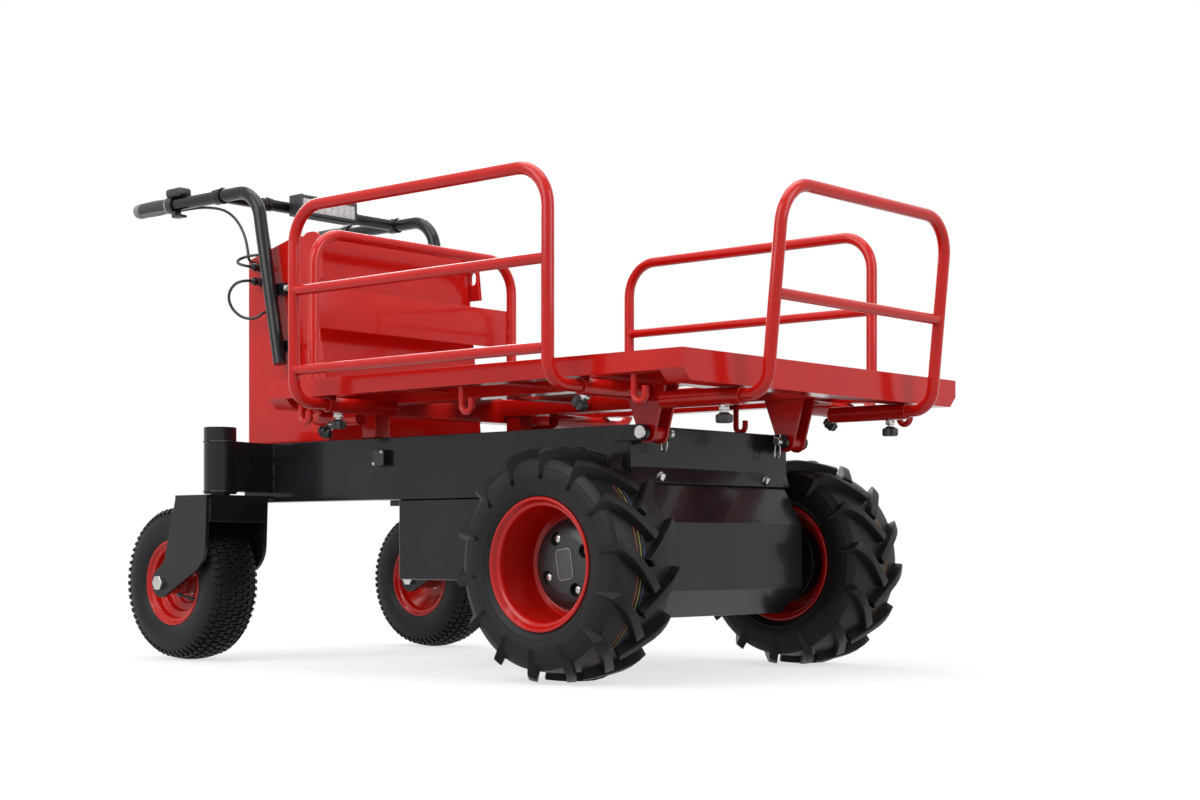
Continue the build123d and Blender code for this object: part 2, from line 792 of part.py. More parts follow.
# Rope hooks: bent rods below the side bars
with BuildPart() as rope_hooks:
    for side in SIDES.values():
        for place in hook_places:
            hook_x = side * (bed_half - side_bar_width / 2)
            hook_top = bed_top - side_bar_height
            hook_low = hook_top - hook_drop - hook_bend
            hook_y = drive_y + place
            route = (
                (hook_x, hook_y, hook_top),
                (hook_x, hook_y, hook_low),
                (hook_x, hook_y - 2 * hook_bend - running_fit, hook_low),
                (hook_x, hook_y - 2 * hook_bend - running_fit, hook_low + hook_bend + hook_tip),
            )
            sweep_tube(route, hook_bend, hook_radius)
save(rope_hooks, "rope_hooks")


def knob(place, direction):
    """A star knob and its screw, reaching from a sleeve's wall in the given direction."""
    screw_length = knob_reach - sleeve_radius
    with BuildSketch(Plane(origin=place, z_dir=direction)) as screw:
        Circle(knob_screw_radius)
    extrude(screw.sketch, amount=screw_length)
    star_base = Vector(place) + Vector(direction) * screw_length
    with BuildSketch(Plane(origin=star_base, z_dir=direction)) as star:
        Circle(knob_core)
        with PolarLocations(knob_lobe_ring, knob_lobes):
            Circle(knob_lobe_radius)
    extrude(star.sketch, amount=knob_thick)


# Clamp knobs: one under each guard sleeve
tilt = cos(radians(knob_tilt))
with BuildPart() as clamp_knobs:
    for side in SIDES.values():
        knob_x = side * (side_mouth - side_knob_inset)
        seat = sleeve_radius + running_fit
        knob((knob_x, side_sleeve_y[0] + seat * tilt, side_sleeve_z - seat * tilt), (0, tilt, -tilt))
        knob((knob_x, side_sleeve_y[1], side_sleeve_z - seat), (0, 0, -1))
        front_knob_y = bed_y[0] + mouth_inset + end_knob_inset
        knob((side * front_post_half, front_knob_y, front_sleeve_z - seat), (0, 0, -1))
        rear_knob_y = bed_y[1] - mouth_inset - end_knob_inset
        rear_x = side * (rear_post_half + seat * tilt)
        knob((rear_x, rear_knob_y, front_sleeve_z - seat * tilt), (side * tilt, 0, -tilt))
save(clamp_knobs, "clamp_knobs")

# Side guards: a bent tube loop with two bars, its feet in the side sleeves
side_x = bed_half + side_guard_out
guard_inner = side_sleeve_end + guard_end_inset
for name, side in SIDES.items():
    with BuildPart() as side_guard:
        front_y, rear_y = side_sleeve_y
        route = (
            (side * guard_inner, front_y, side_sleeve_z),
            (side * side_x, front_y, side_sleeve_z),
            (side * side_x, front_y, side_top_z),
            (side * side_x, rear_y, side_top_z),
            (side * side_x, rear_y, side_sleeve_z),
            (side * guard_inner, rear_y, side_sleeve_z),
        )
        bends = (guard_foot_bend, guard_corner, guard_corner, guard_foot_bend)
        sweep_tube(route, bends, tube_radius)
        for height in (side_low_z, side_mid_z):
            with BuildSketch(Plane.XZ.offset(-front_y)):
                with Locations((side * side_x, height)):
                    Circle(bar_radius)
            extrude(amount=-(rear_y - front_y))
    save(side_guard, f"guard_{name}")

# Front guard: leans forward, with one bar across
with BuildPart() as front_guard:
    base_y = drive_y + front_post_y
    top_y = drive_y + front_top_y
    mid_y = base_y - (front_mid_z - front_sleeve_z) * lean
    inner_y = bed_y[0] + mouth_inset + sleeve_length - guard_end_inset
    route = (
        (-front_post_half, inner_y, front_sleeve_z),
        (-front_post_half, base_y, front_sleeve_z),
        (-front_post_half, top_y, front_top_z),
        (front_post_half, top_y, front_top_z),
        (front_post_half, base_y, front_sleeve_z),
        (front_post_half, inner_y, front_sleeve_z),
    )
    bends = (guard_foot_bend, guard_corner, guard_corner, guard_foot_bend)
    sweep_tube(route, bends, tube_radius)
    with BuildSketch(Plane.YZ.offset(-front_post_half)):
        with Locations((mid_y, front_mid_z)):
            Circle(bar_radius)
    extrude(amount=2 * front_post_half)
save(front_guard, "guard_front")

# Rear guard: upright, with a plate between its posts
with BuildPart() as rear_guard:
    base_y = bed_y[1] + rear_guard_out
    inner_y = bed_y[1] - mouth_inset - rear_sleeve_length + guard_end_inset
    route = (
        (-rear_post_half, inner_y, front_sleeve_z),
        (-rear_post_half, base_y, front_sleeve_z),
        (-rear_post_half, base_y, rear_top_z),
        (rear_post_half, base_y, rear_top_z),
        (rear_post_half, base_y, front_sleeve_z),
        (rear_post_half, inner_y, front_sleeve_z),
    )
    bends = (rear_foot_bend, guard_corner, guard_corner, rear_foot_bend)
    sweep_tube(route, bends, tube_radius)
    plate_y = (base_y - rear_plate_thick / 2, base_y + rear_plate_thick / 2)
    block((-rear_post_half, rear_post_half), plate_y, (rear_plate_low, rear_plate_high))
save(rear_guard, "guard_rear")


def tyre_outline(half_outline):
    """A tyre's closed section, from radius and width points that end on its middle plane."""
    far_half = [(radius, -across) for radius, across in reversed(half_outline[:-1])]
    ring_sketch((*half_outline, *far_half))


def tyre_lug(centre, side):
    """A slanting bar from the tyre's side to just past its middle, trimmed to the tips' radius."""
    crown_foot = drive_radius - lug_height - lug_root
    outer_end = drive_width / 2 - lug_end_inset
    stations = (
        (0.0, outer_end, drive_bulge_radius, drive_radius - lug_end_drop),
        (0.5, (outer_end - lug_overlap) / 2, crown_foot, drive_radius),
        (1.0, -lug_overlap, crown_foot, drive_radius),
    )
    sections = []
    for share, across, foot, tip in stations:
        turn = radians(share * lug_lead)
        out = Vector(0, sin(turn), -cos(turn))
        top = sqrt(tip**2 - (lug_width / 2) ** 2)
        place = Plane(origin=centre + Vector(side * across, 0, 0) + out * foot, x_dir=out, z_dir=(side, 0, 0))
        with BuildSketch(place) as section:
            Rectangle(top - foot, lug_width, align=(Align.MIN, Align.CENTER))
        sections.append(section.sketch)
    with BuildPart() as lug:
        loft(sections, ruled=True)
    return lug.part


# Drive wheels: a lugged pneumatic tyre, a deep rim and a covered hub on each stub shaft
for name, side in SIDES.items():
    wheel_centre = Vector(side * drive_track / 2, drive_y, axle_z)
    wheel_plane = Plane(origin=wheel_centre, x_dir=(0, 0, 1), z_dir=(0, side, 0))
    wheel_axis = Axis(wheel_centre, (1, 0, 0))
    bead_half = drive_rim_half - rim_sheet - running_fit
    crown_radius = drive_radius - lug_height
    with BuildPart() as tyre:
        with BuildSketch(wheel_plane):
            tyre_outline(
                (
                    (drive_bead_radius + running_fit, bead_half),
                    (drive_flange_radius + rim_sheet / 2, bead_half),
                    (drive_bulge_radius, drive_width / 2),
                    (crown_radius - drive_shoulder_drop, drive_width / 2 - drive_shoulder_inset),
                    (crown_radius, 0),
                )
            )
        revolve(axis=wheel_axis)
        lugs = []
        for lug_side, first in ((-1, 0.0), (1, lug_pitch / 2)):
            lug = tyre_lug(wheel_centre, lug_side)
            for index in range(lug_count):
                lugs.append(lug.rotate(wheel_axis, first - lug_rest_turn + index * lug_pitch))
        add(lugs)
    save(tyre, f"drive_tyre_{name}")
    with BuildPart() as rim:
        with BuildSketch(wheel_plane):
            barrel = drive_bead_radius - rim_sheet
            edge = drive_rim_half - rim_sheet
            disc = -drive_disc_inset
            bore = drive_shaft_radius + running_fit
            ring_sketch(
                (
                    (drive_flange_radius, drive_rim_half),
                    (barrel, drive_rim_half),
                    (barrel, disc + drive_disc_thick),
                    (bore, disc + drive_disc_thick),
                    (bore, disc),
                    (barrel, disc),
                    (barrel, -drive_rim_half),
                    (drive_flange_radius, -drive_rim_half),
                    (drive_flange_radius, -edge),
                    (drive_bead_radius, -edge),
                    (drive_bead_radius, edge),
                    (drive_flange_radius, edge),
                )
            )
        revolve(axis=wheel_axis)
    save(rim, f"drive_rim_{name}")
    with BuildPart() as hub:
        hub_base = drive_disc_thick - drive_disc_inset
        hub_face = hub_base + drive_hub_depth
        hub_bore = drive_shaft_radius + running_fit
        shaft_end = hub_base + drive_shaft_reach + running_fit
        with BuildSketch(wheel_plane):
            ring_sketch(
                (
                    (hub_bore, hub_base),
                    (drive_hub_radius, hub_base),
                    (drive_hub_radius, hub_base + drive_hub_edge),
                    (drive_hub_face, hub_face),
                    (0, hub_face),
                    (0, shaft_end),
                    (hub_bore, shaft_end),
                )
            )
        revolve(axis=wheel_axis)
        face_plane = Plane(origin=wheel_centre + Vector(side * hub_face, 0, 0), z_dir=(side, 0, 0))
        with BuildSketch(face_plane):
            with PolarLocations(hub_pocket_ring, hub_pockets, start_angle=hub_pocket_turn):
                Circle(hub_pocket_radius)
        extrude(amount=-hub_pocket_depth, mode=Mode.SUBTRACT)
    save(hub, f"drive_hub_{name}")

# Casters: a fork on a stem in the head tube, with a small wheel on a bolt behind the stem
hub_half = caster_width / 2 + fork_gap - caster_hub_clear
fork_inner = caster_width / 2 + fork_gap
fork_outer = fork_inner + fork_plate
caster_y = swivel_y + caster_trail
for name, side in SIDES.items():
    caster_x = side * caster_track / 2
    plate_low = fork_top_z - fork_plate
    with BuildPart() as fork:
        fork_y = (swivel_y - fork_front, swivel_y + fork_rear)
        inboard_x = caster_x - side * (fork_outer + fork_lip)
        plate_x = sorted((inboard_x, caster_x + side * fork_outer))
        block(plate_x, fork_y, (plate_low, fork_top_z))
        web_y = (fork_y[0], fork_y[0] + fork_plate)
        block((caster_x - fork_inner, caster_x + fork_inner), web_y, (plate_low - fork_web, plate_low))
        eye = Vector(caster_y, caster_z)
        toe = eye + Vector(fork_eye_radius, 0).rotate(Axis.Z, fork_toe_turn)
        heel = eye + Vector(fork_eye_radius, 0).rotate(Axis.Z, fork_heel_turn)
        for start in (-fork_outer, fork_inner):
            with BuildSketch(Plane.YZ.offset(caster_x + start)):
                with BuildLine():
                    front_top = Vector(fork_y[0], plate_low)
                    rear_top = Vector(fork_y[1], plate_low)
                    FilletPolyline(front_top, eye + Vector(*fork_front_elbow), toe, radius=fork_front_bend)
                    Polyline(toe, eye, heel)
                    FilletPolyline(heel, eye + Vector(*fork_rear_elbow), rear_top, radius=fork_rear_bend)
                    Line(rear_top, front_top)
                make_face()
                with Locations((caster_y, caster_z)):
                    Circle(fork_eye_radius)
                with Locations((caster_y, caster_z)):
                    Circle(caster_bolt_radius + running_fit, mode=Mode.SUBTRACT)
            extrude(amount=fork_plate)
        with BuildSketch(Plane.XY.offset(fork_top_z)):
            with Locations((caster_x, swivel_y)):
                Circle(stem_radius)
        extrude(amount=head_top - plate_sheet - head_gap - fork_top_z)
    save(fork, f"caster_fork_{name}")
    with BuildPart() as bolt:
        with BuildSketch(Plane.YZ.offset(caster_x - fork_outer)):
            with Locations((caster_y, caster_z)):
                Circle(caster_bolt_radius)
        extrude(amount=2 * fork_outer)
        for face_x, away in ((caster_x - fork_outer, -1), (caster_x + fork_outer, 1)):
            with BuildSketch(Plane.YZ.offset(face_x)):
                with Locations((caster_y, caster_z)):
                    RegularPolygon(bolt_head_radius, 6)
            extrude(amount=away * bolt_head_thick)
    save(bolt, f"caster_bolt_{name}")
    wheel_plane = Plane(origin=(caster_x, caster_y, caster_z), x_dir=(0, 0, 1), z_dir=(0, side, 0))
    wheel_axis = Axis((caster_x, caster_y, caster_z), (1, 0, 0))
    edge = caster_rim_half - rim_sheet
    with BuildPart() as tyre:
        with BuildSketch(wheel_plane):
            tyre_outline(
                (
                    (caster_bead_radius + running_fit, edge - running_fit),
                    (caster_flange_radius + rim_sheet / 2, edge - running_fit),
                    (caster_bulge_radius, caster_width / 2),
                    (caster_radius - caster_shoulder_drop, caster_shoulder_half),
                    (caster_radius, 0),
                )
            )
        revolve(axis=wheel_axis)
    save(tyre, f"caster_tyre_{name}")
    with BuildPart() as rim:
        with BuildSketch(wheel_plane):
            barrel = caster_bead_radius - rim_sheet
            bore = caster_bolt_radius + running_fit
            disc = rim_sheet / 2
            ring_sketch(
                (
                    (caster_flange_radius, caster_rim_half),
                    (barrel, caster_rim_half),
                    (barrel, disc),
                    (caster_hub_radius, disc),
                    (caster_hub_radius, hub_half),
                    (bore, hub_half),
                    (bore, -hub_half),
                    (caster_hub_radius, -hub_half),
                    (caster_hub_radius, -disc),
                    (barrel, -disc),
                    (barrel, -caster_rim_half),
                    (caster_flange_radius, -caster_rim_half),
                    (caster_flange_radius, -edge),
                    (caster_bead_radius, -edge),
                    (caster_bead_radius, edge),
                    (caster_flange_radius, edge),
                )
            )
        revolve(axis=wheel_axis)
    save(rim, f"caster_rim_{name}")
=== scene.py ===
"""The looks of a walk-behind electric flatbed dumper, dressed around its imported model, in metres."""
import math
import random

import bpy
from mathutils import Matrix, Vector


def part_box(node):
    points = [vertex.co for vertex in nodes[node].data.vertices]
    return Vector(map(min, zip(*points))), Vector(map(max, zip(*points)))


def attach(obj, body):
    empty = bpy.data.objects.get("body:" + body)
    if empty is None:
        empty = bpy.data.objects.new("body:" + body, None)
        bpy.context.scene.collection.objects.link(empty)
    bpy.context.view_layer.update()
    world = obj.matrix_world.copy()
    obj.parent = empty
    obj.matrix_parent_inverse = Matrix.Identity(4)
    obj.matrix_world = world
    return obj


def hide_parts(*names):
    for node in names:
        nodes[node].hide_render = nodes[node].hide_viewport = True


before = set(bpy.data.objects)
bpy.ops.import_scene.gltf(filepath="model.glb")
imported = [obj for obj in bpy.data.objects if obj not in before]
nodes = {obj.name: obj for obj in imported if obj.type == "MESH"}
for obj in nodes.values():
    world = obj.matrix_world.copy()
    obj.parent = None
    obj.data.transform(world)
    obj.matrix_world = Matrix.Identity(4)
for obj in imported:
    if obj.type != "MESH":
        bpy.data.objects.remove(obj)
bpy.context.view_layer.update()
SIDES = {"right": -1, "left": 1}

# The stage: a pale seamless floor under plain studio light, with large soft lamps to the left, above
# and in front. The camera stands low, at the machine's right front corner, where the photograph does.
scene = bpy.context.scene
scene.view_settings.view_transform = "Standard"
PICTURE_SIZE = (1200, 800)
EYE = Vector((-2.7838, -2.7248, 0.2344))
EYE_YAW = math.radians(49.4)
FOCAL_PIXELS = 1915.2
VIEW_CENTRE = (630.4, 546.6)
SENSOR = 36.0
camera_data = bpy.data.cameras.new("camera")
camera_data.sensor_width = SENSOR
camera_data.lens = FOCAL_PIXELS / PICTURE_SIZE[0] * SENSOR
camera_data.shift_x = (PICTURE_SIZE[0] / 2 - VIEW_CENTRE[0]) / PICTURE_SIZE[0]
camera_data.shift_y = (VIEW_CENTRE[1] - PICTURE_SIZE[1] / 2) / PICTURE_SIZE[0]
camera = bpy.data.objects.new("camera", camera_data)
camera.location = EYE
camera.rotation_euler = (math.radians(90), 0, -EYE_YAW)
scene.collection.objects.link(camera)
scene.camera = camera

WHITE = (1, 1, 1, 1)
FLOOR_SIZE = 60.0
FLOOR_PALENESS = {"To Min": 0.38, "To Max": 0.86}
FLOOR_FADE = {"From Min": 0.9, "From Max": 2.4, "To Min": 0.66, "To Max": 1.0}


def primitive(add, **sizes):
    """A new primitive, the only piece selected, with its place and turn in its mesh."""
    bpy.ops.object.select_all(action="DESELECT")
    add(**sizes)
    bpy.ops.object.transform_apply(location=True, rotation=True, scale=True)
    return bpy.context.object


def feed(tree, node, inputs):
    """Gives each of some inputs of a node a value, or joins it to another node."""
    for socket, value in inputs.items():
        if isinstance(value, bpy.types.Node):
            value = value.outputs[0]
        if isinstance(value, bpy.types.NodeSocket):
            tree.links.new(value, node.inputs[socket])
        else:
            node.inputs[socket].default_value = value


def add_node(tree, kind, inputs=None, operation=None):
    """A new shader node of a kind, with its inputs fed."""
    node = tree.nodes.new(f"ShaderNode{kind}")
    if operation:
        node.operation = operation
    feed(tree, node, inputs or {})
    return node


def fresh_tree(owner):
    owner.use_nodes = True
    owner.node_tree.nodes.clear()
    return owner.node_tree


def seen_by_eye(tree):
    """1 for rays from the camera and for mirrored and refracted ones, which all show the pale backdrop."""
    rays = add_node(tree, "LightPath").outputs
    seen = rays["Is Camera Ray"]
    for kind in ("Is Glossy Ray", "Is Transmission Ray"):
        seen = add_node(tree, "Math", {0: seen, 1: rays[kind]}, "MAXIMUM")
    return seen


floor = primitive(bpy.ops.mesh.primitive_plane_add, size=FLOOR_SIZE)
floor.name = "studio_floor"
floor_paper = bpy.data.materials.new("studio_paper")
tree = fresh_tree(floor_paper)
seen = seen_by_eye(tree)
bounce = add_node(tree, "MapRange", {"Value": seen, **FLOOR_PALENESS})
matt = add_node(tree, "BsdfDiffuse", {"Color": bounce})
glow = add_node(tree, "Emission", {"Color": WHITE})
floor_place = add_node(tree, "TexCoord").outputs["Object"]
distance = add_node(tree, "VectorMath", {0: floor_place}, "LENGTH").outputs["Value"]
fade = add_node(tree, "MapRange", {"Value": distance, **FLOOR_FADE})
share = add_node(tree, "Math", {0: seen, 1: fade}, "MULTIPLY")
blended = add_node(tree, "MixShader", {"Fac": share, 1: matt, 2: glow})
add_node(tree, "OutputMaterial", {"Surface": blended})
floor.data.materials.append(floor_paper)

SKY_FADE = {"From Min": -0.1, "From Max": 0.9, "To Min": 0.34, "To Max": 0.7}
world = bpy.data.worlds.new("studio")
scene.world = world
tree = fresh_tree(world)
sky_parts = add_node(tree, "SeparateXYZ", {0: add_node(tree, "TexCoord").outputs["Generated"]})
sky_fade = add_node(tree, "MapRange", {"Value": sky_parts.outputs["Z"], **SKY_FADE})
surround = add_node(tree, "Background", {"Color": WHITE, "Strength": sky_fade})
backdrop = add_node(tree, "Background", {"Color": WHITE})
blended = add_node(tree, "MixShader", {"Fac": seen_by_eye(tree), 1: surround, 2: backdrop})
add_node(tree, "OutputWorld", {"Surface": blended})

LAMPS = (
    ("left_softbox", (-3.6, 0.4, 2.6), 3.0, 110.0),
    ("front_softbox", (0.6, -4.2, 2.4), 2.6, 85.0),
    ("top_softbox", (0.0, 0.0, 3.8), 3.2, 80.0),
    ("rear_softbox", (2.2, 3.6, 2.6), 2.4, 60.0),
)
LAMP_TARGET = Vector((0, 0, 0.5))
for name, place, size, watts in LAMPS:
    lamp_data = bpy.data.lights.new(name, "AREA")
    lamp_data.shape = "SQUARE"
    lamp_data.size = size
    lamp_data.energy = watts
    lamp = bpy.data.objects.new(name, lamp_data)
    lamp.location = place
    lamp.rotation_euler = (LAMP_TARGET - Vector(place)).to_track_quat("-Z", "Y").to_euler()
    scene.collection.objects.link(lamp)

# Chassis: two black box beams with a rear cross member and a head tube on each side, cut from steel
# tube, with plates and covers bolted on, all sprayed gloss black. Edges keep the steel's small rounding.
BLACK = (0.013, 0.012, 0.015)
BLACK_DEEP = (0.008, 0.0075, 0.009)
DRIFT = {"Scale": 9.0, "Detail": 4.0}
DRIFT_SPAN = (0.35, 0.65)
GRAIN_DEPTH = 0.0004
COAT_ROUGHNESS = 0.06
SMOOTH_TURN = math.radians(35)
BAR_EDGE = 0.004
PLATE_EDGE = 0.0012
EDGE_TURN = 40
SHEET_TURN = 12


def surface(name, colour, shade, roughness, grain, bump, coat=0.0, metallic=0.0, shine=0.5):
    """A material whose colour drifts between two shades, with an uneven gloss and a fine grain."""
    material = bpy.data.materials.new(name)
    material.use_nodes = True
    tree = material.node_tree
    place = add_node(tree, "TexCoord").outputs["Object"]
    drift = add_node(tree, "TexNoise", {"Vector": place, **DRIFT})
    ramp = add_node(tree, "ValToRGB", {"Fac": drift})
    for stop, position, tint in zip(ramp.color_ramp.elements, DRIFT_SPAN, (shade, colour)):
        stop.position = position
        stop.color = (*tint, 1)
    gloss = add_node(tree, "MapRange", {"Value": drift, "To Min": roughness[0], "To Max": roughness[1]})
    fine = add_node(tree, "TexNoise", {"Vector": place, "Scale": grain, "Detail": 2.0})
    relief = add_node(tree, "Bump", {"Height": fine, "Strength": bump, "Distance": GRAIN_DEPTH})
    feed(tree, tree.nodes["Principled BSDF"], {
        "Base Color": ramp, "Roughness": gloss, "Normal": relief, "Metallic": metallic,
        "Specular IOR Level": shine, "Coat Weight": coat, "Coat Roughness": COAT_ROUGHNESS,
    })
    return material


def select_only(piece):
    bpy.ops.object.select_all(action="DESELECT")
    piece.select_set(True)
    bpy.context.view_layer.objects.active = piece


def finish_piece(piece, material, slot, body, *replaced):
    """Shades a piece, gives it its finish and its body, and hides the nodes that it stands for."""
    select_only(piece)
    if not piece.data.has_custom_normals:
        bpy.ops.object.shade_smooth_by_angle(angle=SMOOTH_TURN)
    if not piece.data.materials:
        piece.data.materials.append(material)
    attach(piece, body)
    if replaced:
        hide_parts(*replaced)


def round_edges(piece, width, segments=1, least_turn=30):
    """Rounds the edges of the active piece that turn by more than an angle in degrees."""
    rounding = piece.modifiers.new("rounding", "BEVEL")
    rounding.width = width
    rounding.segments = segments
    rounding.limit_method = "ANGLE"
    rounding.angle_limit = math.radians(least_turn)
    bpy.ops.object.modifier_apply(modifier=rounding.name)


def edit_all():
    """Opens the active piece for editing, with all of it selected."""
    bpy.ops.object.mode_set(mode="EDIT")
    bpy.ops.mesh.select_all(action="SELECT")


def softened(node, edge, segments=2, least_turn=EDGE_TURN):
    """A welded copy of a node with its sharp edges rounded, as rolled and cut steel has them."""
    piece = bpy.data.objects.new(f"{node}_finish", nodes[node].data.copy())
    scene.collection.objects.link(piece)
    piece.data.materials.clear()
    select_only(piece)
    edit_all()
    bpy.ops.mesh.remove_doubles(threshold=0.00001)
    bpy.ops.mesh.dissolve_limited(angle_limit=math.radians(1))
    bpy.ops.object.mode_set(mode="OBJECT")
    round_edges(piece, edge, segments, least_turn)
    bpy.ops.object.shade_smooth_by_angle(angle=SMOOTH_TURN)
    weighting = piece.modifiers.new("weighting", "WEIGHTED_NORMAL")
    weighting.keep_sharp = True
    bpy.ops.object.modifier_apply(modifier=weighting.name)
    return piece


black_paint = surface("gloss_black_paint", BLACK, BLACK_DEEP, (0.16, 0.26), 420.0, 0.05, coat=0.15, shine=0.2)
for node, *rounding in (
    ("chassis_frame", BAR_EDGE, 3),
    ("front_plate", PLATE_EDGE, 2, SHEET_TURN),
    ("drive_cover", PLATE_EDGE, 2, SHEET_TURN),
    ("hinge_ears", PLATE_EDGE),
    ("drive_unit", PLATE_EDGE),
    ("battery_box", BAR_EDGE),
    ("handle_saddles", PLATE_EDGE),
):
    finish_piece(softened(node, *rounding), black_paint, "black_paint", "chassis", node)

# Red paintwork: the console with its lifting eyes, and the bed's bars, boards, brackets and rests,
# folded and welded from sheet and tube and sprayed a clear gloss red.
RED = (0.5, 0.008, 0.005)
RED_DEEP = (0.46, 0.007, 0.0045)
BED_EDGE = 0.003
BOARD_EDGE = 0.0008
red_paint = surface("gloss_red_paint", RED, RED_DEEP, (0.14, 0.24), 420.0, 0.03, coat=0.2, shine=0.2)
for node, edge, body in (
    ("console", BAR_EDGE, "chassis"),
    ("eye_plates", PLATE_EDGE, "chassis"),
    ("bed_frame", BED_EDGE, "bed"),
    ("deck_boards", BOARD_EDGE, "bed"),
    ("bed_brackets", PLATE_EDGE, "bed"),
    ("bed_rests", BED_EDGE, "bed"),
    ("guard_sleeves", PLATE_EDGE, "bed"),
    ("rope_hooks", PLATE_EDGE, "bed"),
):
    finish_piece(softened(node, edge), red_paint, "red_paint", body, node)

# Caster forks: thick black plates, welded into an arm that hangs from each head tube and carries the
# wheel on one side.
for name in SIDES:
    node = f"caster_fork_{name}"
    finish_piece(softened(node, PLATE_EDGE), black_paint, "black_paint", f"fork_{name}", node)

# Drive tyres: soft-ground pneumatic tyres moulded in black rubber, with open rows of slanting lugs
# whose inner ends lead, fine rings on the sidewalls, vent hairs, and three painted lines round the crown.
DRIVE_STEPS = 96
WALL_MIDDLE = (0.058, 0.148)
WALL_BULGE = (0.021, 0.038)
WALL_SWEEP = (-68, 128, 44)
WALL_RINGS = (0.1275, 0.1665)
WALL_RING_SIZE = (0.0009, 0.0013)
CROWN_HALF = 0.0685
CROWN_TOP = 0.1875
CROWN_DROP = 0.0065
BEAD = (0.0585, 0.1045)
LUG_COUNT = 14
LUG_REACH = (0.0775, -0.009)
LUG_LEAD = math.radians(22.3)
LUG_WIDTH = 0.0165
LUG_TIP = 0.2035
LUG_CUTS = 6
LUG_TAPER = (1.15, 0.25)
LUG_FLARE = 0.25
LUG_CURVE = 1.12
LUG_SHOULDER = (0.042, 0.038, 0.013)
LUG_SUNK = 0.004
LUG_EDGE = 0.0016
HAIRS = 130
HAIR_SIZE = (0.0004, 0.0055)
HAIR_LEAN = 0.6
SAME_POINT = 0.000001
RUBBER = (0.011, 0.0105, 0.011)
RUBBER_DEEP = (0.007, 0.0067, 0.007)
LINE_COLOURS = ((0.3, 0.075, 0.022), (0.3, 0.26, 0.05), (0.05, 0.11, 0.2))
LINE_PLACES = (0.028, 0.02, 0.012)
LINE_HALF = 0.0009
LINE_WEAR = {"From Min": 0.36, "From Max": 0.5}
LINE_WEAR_SCALE = 55.0


def rubber(name):
    return surface(name, RUBBER, RUBBER_DEEP, (0.36, 0.52), 260.0, 0.22, shine=0.18)


def object_place(tree, axis):
    """A place along one axis of the piece."""
    return add_node(tree, "SeparateXYZ", {0: add_node(tree, "TexCoord").outputs["Object"]}).outputs[axis]


def paint_over(material, mask, tint):
    """Lays a tint over a material's colour where a mask is 1."""
    tree = material.node_tree
    shader = tree.nodes["Principled BSDF"]
    below = shader.inputs["Base Color"].links[0].from_socket
    painted = add_node(tree, "MixRGB", {"Fac": mask, "Color1": below, "Color2": (*tint, 1)})
    feed(tree, shader, {"Base Color": painted})


def lined_rubber(name, middle, side):
    """Tyre rubber with thin painted lines round the crown's outer half, worn through here and there."""
    material = rubber(name)
    tree = material.node_tree
    place = add_node(tree, "TexCoord").outputs["Object"]
    worn = add_node(tree, "TexNoise", {"Vector": place, "Scale": LINE_WEAR_SCALE})
    fade = add_node(tree, "MapRange", {"Value": worn, **LINE_WEAR})
    across_tyre = object_place(tree, "X")
    for tint, across in zip(LINE_COLOURS, LINE_PLACES):
        on_line = add_node(tree, "Math", {0: across_tyre, 1: middle + side * across, 2: LINE_HALF}, "COMPARE")
        kept = add_node(tree, "Math", {0: on_line, 1: fade}, "MULTIPLY")
        paint_over(material, kept, tint)
    return material


def node_centre(node):
    low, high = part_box(node)
    return (low + high) / 2


def close_mesh():
    """Merges the active mesh's doubles and turns its faces outwards."""
    edit_all()
    bpy.ops.mesh.remove_doubles(threshold=SAME_POINT)
    bpy.ops.mesh.normals_make_consistent(inside=False)
    bpy.ops.object.mode_set(mode="OBJECT")


def drawn_line(name, points):
    """A new piece that is a line through points, in edit mode and all selected."""
    points = [Vector(point) for point in points]
    piece = primitive(bpy.ops.mesh.primitive_plane_add, size=0.01, location=points[0])
    piece.name = name
    edit_all()
    bpy.ops.mesh.merge(type="CENTER")
    for start, end in zip(points, points[1:]):
        bpy.ops.mesh.extrude_vertices_move(TRANSFORM_OT_translate={"value": end - start})
    bpy.ops.mesh.select_all(action="SELECT")
    bpy.ops.mesh.remove_doubles(threshold=SAME_POINT)
    return piece


def turned(name, profile, centre, axis=(1, 0, 0), steps=40, rounding=0.0):
    """A piece spun about an axis through centre; its profile is distances along the axis and radii."""
    along = Vector(axis)
    out = Vector((0, 0, 1)) if abs(along.z) < 0.5 else Vector((0, 1, 0))
    points = [Vector(centre) + along * place + out * radius for place, radius in profile]
    piece = drawn_line(name, points + points[:1])
    if rounding:
        bpy.ops.mesh.bevel(offset=rounding, segments=3, affect="VERTICES", clamp_overlap=True)
        bpy.ops.mesh.select_all(action="SELECT")
    bpy.ops.mesh.spin(steps=steps, angle=math.tau, center=centre, axis=along)
    close_mesh()
    return piece


def handed(profile, side):
    """A wheel's profile with its outer face on the machine's own side."""
    return [(side * place, radius) for place, radius in profile]


def join_pieces(name, pieces):
    select_only(pieces[0])
    for piece in pieces:
        piece.select_set(True)
    bpy.ops.object.join()
    pieces[0].name = name
    return pieces[0]


def copied(piece, placing):
    """A copy of a piece with its own mesh, moved by a matrix that is applied to the mesh."""
    mesh = piece.data.copy()
    mesh.transform(placing)
    twin = bpy.data.objects.new(piece.name, mesh)
    scene.collection.objects.link(twin)
    return twin


def about(centre, angle, axis="X"):
    """A turn about an axis through centre."""
    return Matrix.Translation(centre) @ Matrix.Rotation(angle, 4, axis) @ Matrix.Translation(-Vector(centre))


def ring_of(pattern, count, centre, start, placing=Matrix()):
    """Copies of a pattern, each placed and then turned to its even place round a wheel."""
    turns = [start + index * math.tau / count for index in range(count)]
    return [copied(pattern, about(centre, turn) @ placing) for turn in turns]


